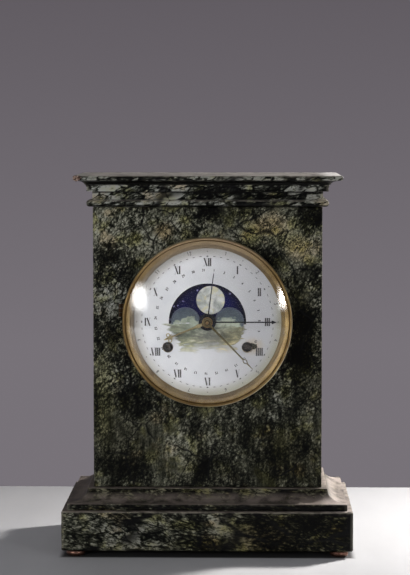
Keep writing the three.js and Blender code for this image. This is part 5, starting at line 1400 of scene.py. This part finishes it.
# The door is a thin dish, its rows given from the rim and from its front, and its knob a turned button
DOOR_RIM = FLANGE_RADIUS - 0.4
DOOR_ROWS = [(-9.6, 2), (-8.6, 0), (0, 0), (0, 1.4), (-2, 1.4), (-8, 1.4), (-9, 3.4), (-14, 3.4)]
DOOR = eased([(0, DOOR_FRONT + 2), *((DOOR_RIM + out, DOOR_FRONT + back) for out, back in DOOR_ROWS),
              (0, DOOR_FRONT + 3.4)], 0.5, 5, closed=False)
KNOB_ROWS = [(0, 1), (2, 1), (2, 4), (4, 6), (3, 8), (0, 8.4)]
KNOB = eased([(radius, DOOR_FRONT + back) for radius, back in KNOB_ROWS], 1.0, 5, closed=False)
door_knuckle = knuckle(DOOR_HINGE_X, DOOR_HINGE_Y, DIAL_Z - HALF_KNUCKLE, DIAL_Z + HALF_KNUCKLE,
                       FLANGE_RADIUS, DOOR_FRONT + 0.2, DOOR_HINGE_Y + LUG_RISE)
door_dish = turned(DOOR, 0, DIAL_Z, closed=False)
door_knob = turned(KNOB, FLANGE_RADIUS - 4.6, DIAL_Z, 40, False)
piece("back_door", joined(door_dish, door_knob, *door_knuckle), "back_door", "brass", TURNED_BRASS)

# The bell is a quarter of a squared ellipse, its wall thinner at the rim
bell_angle = np.linspace(0, QUARTER, 24)
BELL_OUT = np.stack([BELL_NECK + (BELL_RADIUS - BELL_NECK) * np.sin(bell_angle) ** 0.9,
                     BELL_RIM + (BELL_TOP - BELL_RIM) * np.cos(bell_angle) ** 0.8], 1)
BELL_WALL = np.stack([1.3 * np.sin(bell_angle), 1.4 * np.cos(bell_angle)], 1)
BELL = np.concatenate([BELL_OUT, (BELL_OUT - BELL_WALL)[::-1]])
piece("bell", turned(BELL, BELL_X, BELL_Z, 96), "case", "brass", BRASS, crease=50)


# Table, lights and camera
TABLE_X = 2200
TABLE_FRONT = -1500
TABLE_BACK = 330
TABLE_TONES = [(0.3, (0.405, 0.405, 0.420)), (0.7, (0.455, 0.455, 0.470))]
PAINTED_SHADOW_UNDER_PLINTH = (0.006, 0.006, 0.006)


def table_finish():
    """A pale plain top with faint streaks of noise, and a near black painted shadow under the plinth."""
    made, mix, shader = finish("pale_table_top")
    tone = mix.noise(mix.here(scale=(1, 0.25, 1)), 14.0, 5.0, 0.6)
    side, depth, _ = mix.parts(mix.here())
    past_x = mix.less(mix.calc("ABSOLUTE", side), (BODY_X + PLINTH_OUT) * MM)
    past_y = mix.less(mix.calc("ABSOLUTE", depth), (BODY_Y + PLINTH_OUT) * MM)
    # Painted shadow: the top is made near black within the plinth's footprint
    painted_shadow = mix.fade(mix.most(past_x, past_y), 0.004, -0.003, 0.94)
    mix.wire(shader.inputs["Base Color"], mix.blend(painted_shadow, mix.ramp(tone, *TABLE_TONES), PAINTED_SHADOW_UNDER_PLINTH))
    shader.inputs["Roughness"].default_value = 0.55
    return made


table_corners = np.array([(-TABLE_X, TABLE_FRONT, 0), (TABLE_X, TABLE_FRONT, 0), (TABLE_X, TABLE_BACK, 0),
                          (-TABLE_X, TABLE_BACK, 0)])
floor_mesh = bpy.data.meshes.new("floor")
floor_mesh.from_pydata((table_corners * MM).tolist(), [], [(0, 1, 2, 3)])
floor_mesh.materials.append(table_finish())
floor = bpy.data.objects.new("floor", floor_mesh)
bpy.context.scene.collection.objects.link(floor)


def lamp(name, at, toward, wide, high, power, colour=(1, 1, 1)):
    """A soft rectangular lamp at a point, facing another, its glow falling off smoothly toward its edges."""
    data = bpy.data.lights.new(name, "AREA")
    data.shape = "RECTANGLE"
    data.size = wide
    data.size_y = high
    data.energy = power
    data.color = colour
    data.use_nodes = True
    mix = Mixture(data.node_tree)
    glow = 1.0
    for across in mix.parts(mix.node("NewGeometry").outputs["Parametric"])[:2]:
        glow = mix.times(glow, mix.fade(mix.off(across, 0.5), 0.48, 0.0, 2.1))
    mix.wire(data.node_tree.nodes["Emission"].inputs["Strength"], glow)
    made = bpy.data.objects.new(name, data)
    made.location = at
    made.rotation_euler = (Vector(toward) - Vector(at)).to_track_quat("-Z", "Y").to_euler()
    bpy.context.scene.collection.objects.link(made)
    return made


# Each window lights the clock, and a smaller pane in its place is what the glass and the brass mirror
CLOCK_MIDDLE = (0, 0, 0.2)
WINDOW_Y = -1.93
WINDOWS = [("left_window", -1.30, (0.58, 0.90, 23), (0.44, 0.70, 9.0)),
           ("right_window", 1.36, (0.40, 0.90, 7.5), (0.24, 0.60, 5.6))]
for window_name, window_x, window_light, pane_light in WINDOWS:
    window = lamp(window_name, (window_x, WINDOW_Y, 0.55), CLOCK_MIDDLE, *window_light)
    window.visible_glossy = False
    window.visible_transmission = False
    pane = lamp(window_name + "_pane", (window_x, WINDOW_Y, 0.50), CLOCK_MIDDLE, *pane_light)
    pane.visible_diffuse = False
    pane.visible_transmission = False
sun = lamp("sun_side", (0.95, 0.665, 0.75), (0.17, 0, 0.03), 0.32, 0.32, 5.8, (1.0, 0.97, 0.93))
sun.data.spread = math.radians(60)

BACKDROP_TONES = [(0.3, (0.186, 0.169, 0.189)), (0.62, (0.120, 0.107, 0.122))]
ROOM_AHEAD = (0.175, 0.170, 0.172)
ROOM_LIGHT = (0.24, 0.24, 0.25)


def studio_world():
    """A grey backdrop, darker upward, for the camera, mirrors and glass, and an even light for all else.

    Mirrors that look toward the front see the room ahead."""
    world = bpy.data.worlds.new("studio")
    world.use_nodes = True
    mix = Mixture(world.node_tree)
    rays = mix.node("LightPath").outputs
    mirrored = rays["Is Glossy Ray"]
    seen = mix.most(mix.most(rays["Is Camera Ray"], rays["Is Transmission Ray"]), mirrored)
    _, depth, up = mix.parts(mix.node("TexCoord").outputs["Generated"])
    backdrop = mix.ramp(mix.scaled(up, 2.0, 0.5), *BACKDROP_TONES)
    backdrop = mix.blend(mix.times(mix.fade(depth, 0.15, -0.25), mirrored), backdrop, ROOM_AHEAD)
    background = world.node_tree.nodes["Background"]
    mix.wire(background.inputs["Color"], mix.blend(seen, ROOM_LIGHT, backdrop))
    background.inputs["Strength"].default_value = 1.0
    return world


bpy.context.scene.world = studio_world()

camera_data = bpy.data.cameras.new("camera")
camera_data.lens = CAMERA_LENS
camera_data.sensor_width = CAMERA_SENSOR
camera_data.clip_end = 50
camera = bpy.data.objects.new("camera", camera_data)
camera.location = CAMERA_AT
camera.rotation_euler = (math.radians(90 + CAMERA_TILT), 0, math.radians(CAMERA_TURN))
bpy.context.scene.collection.objects.link(camera)
bpy.context.scene.camera = camera
bpy.context.scene.view_settings.view_transform = "Standard"
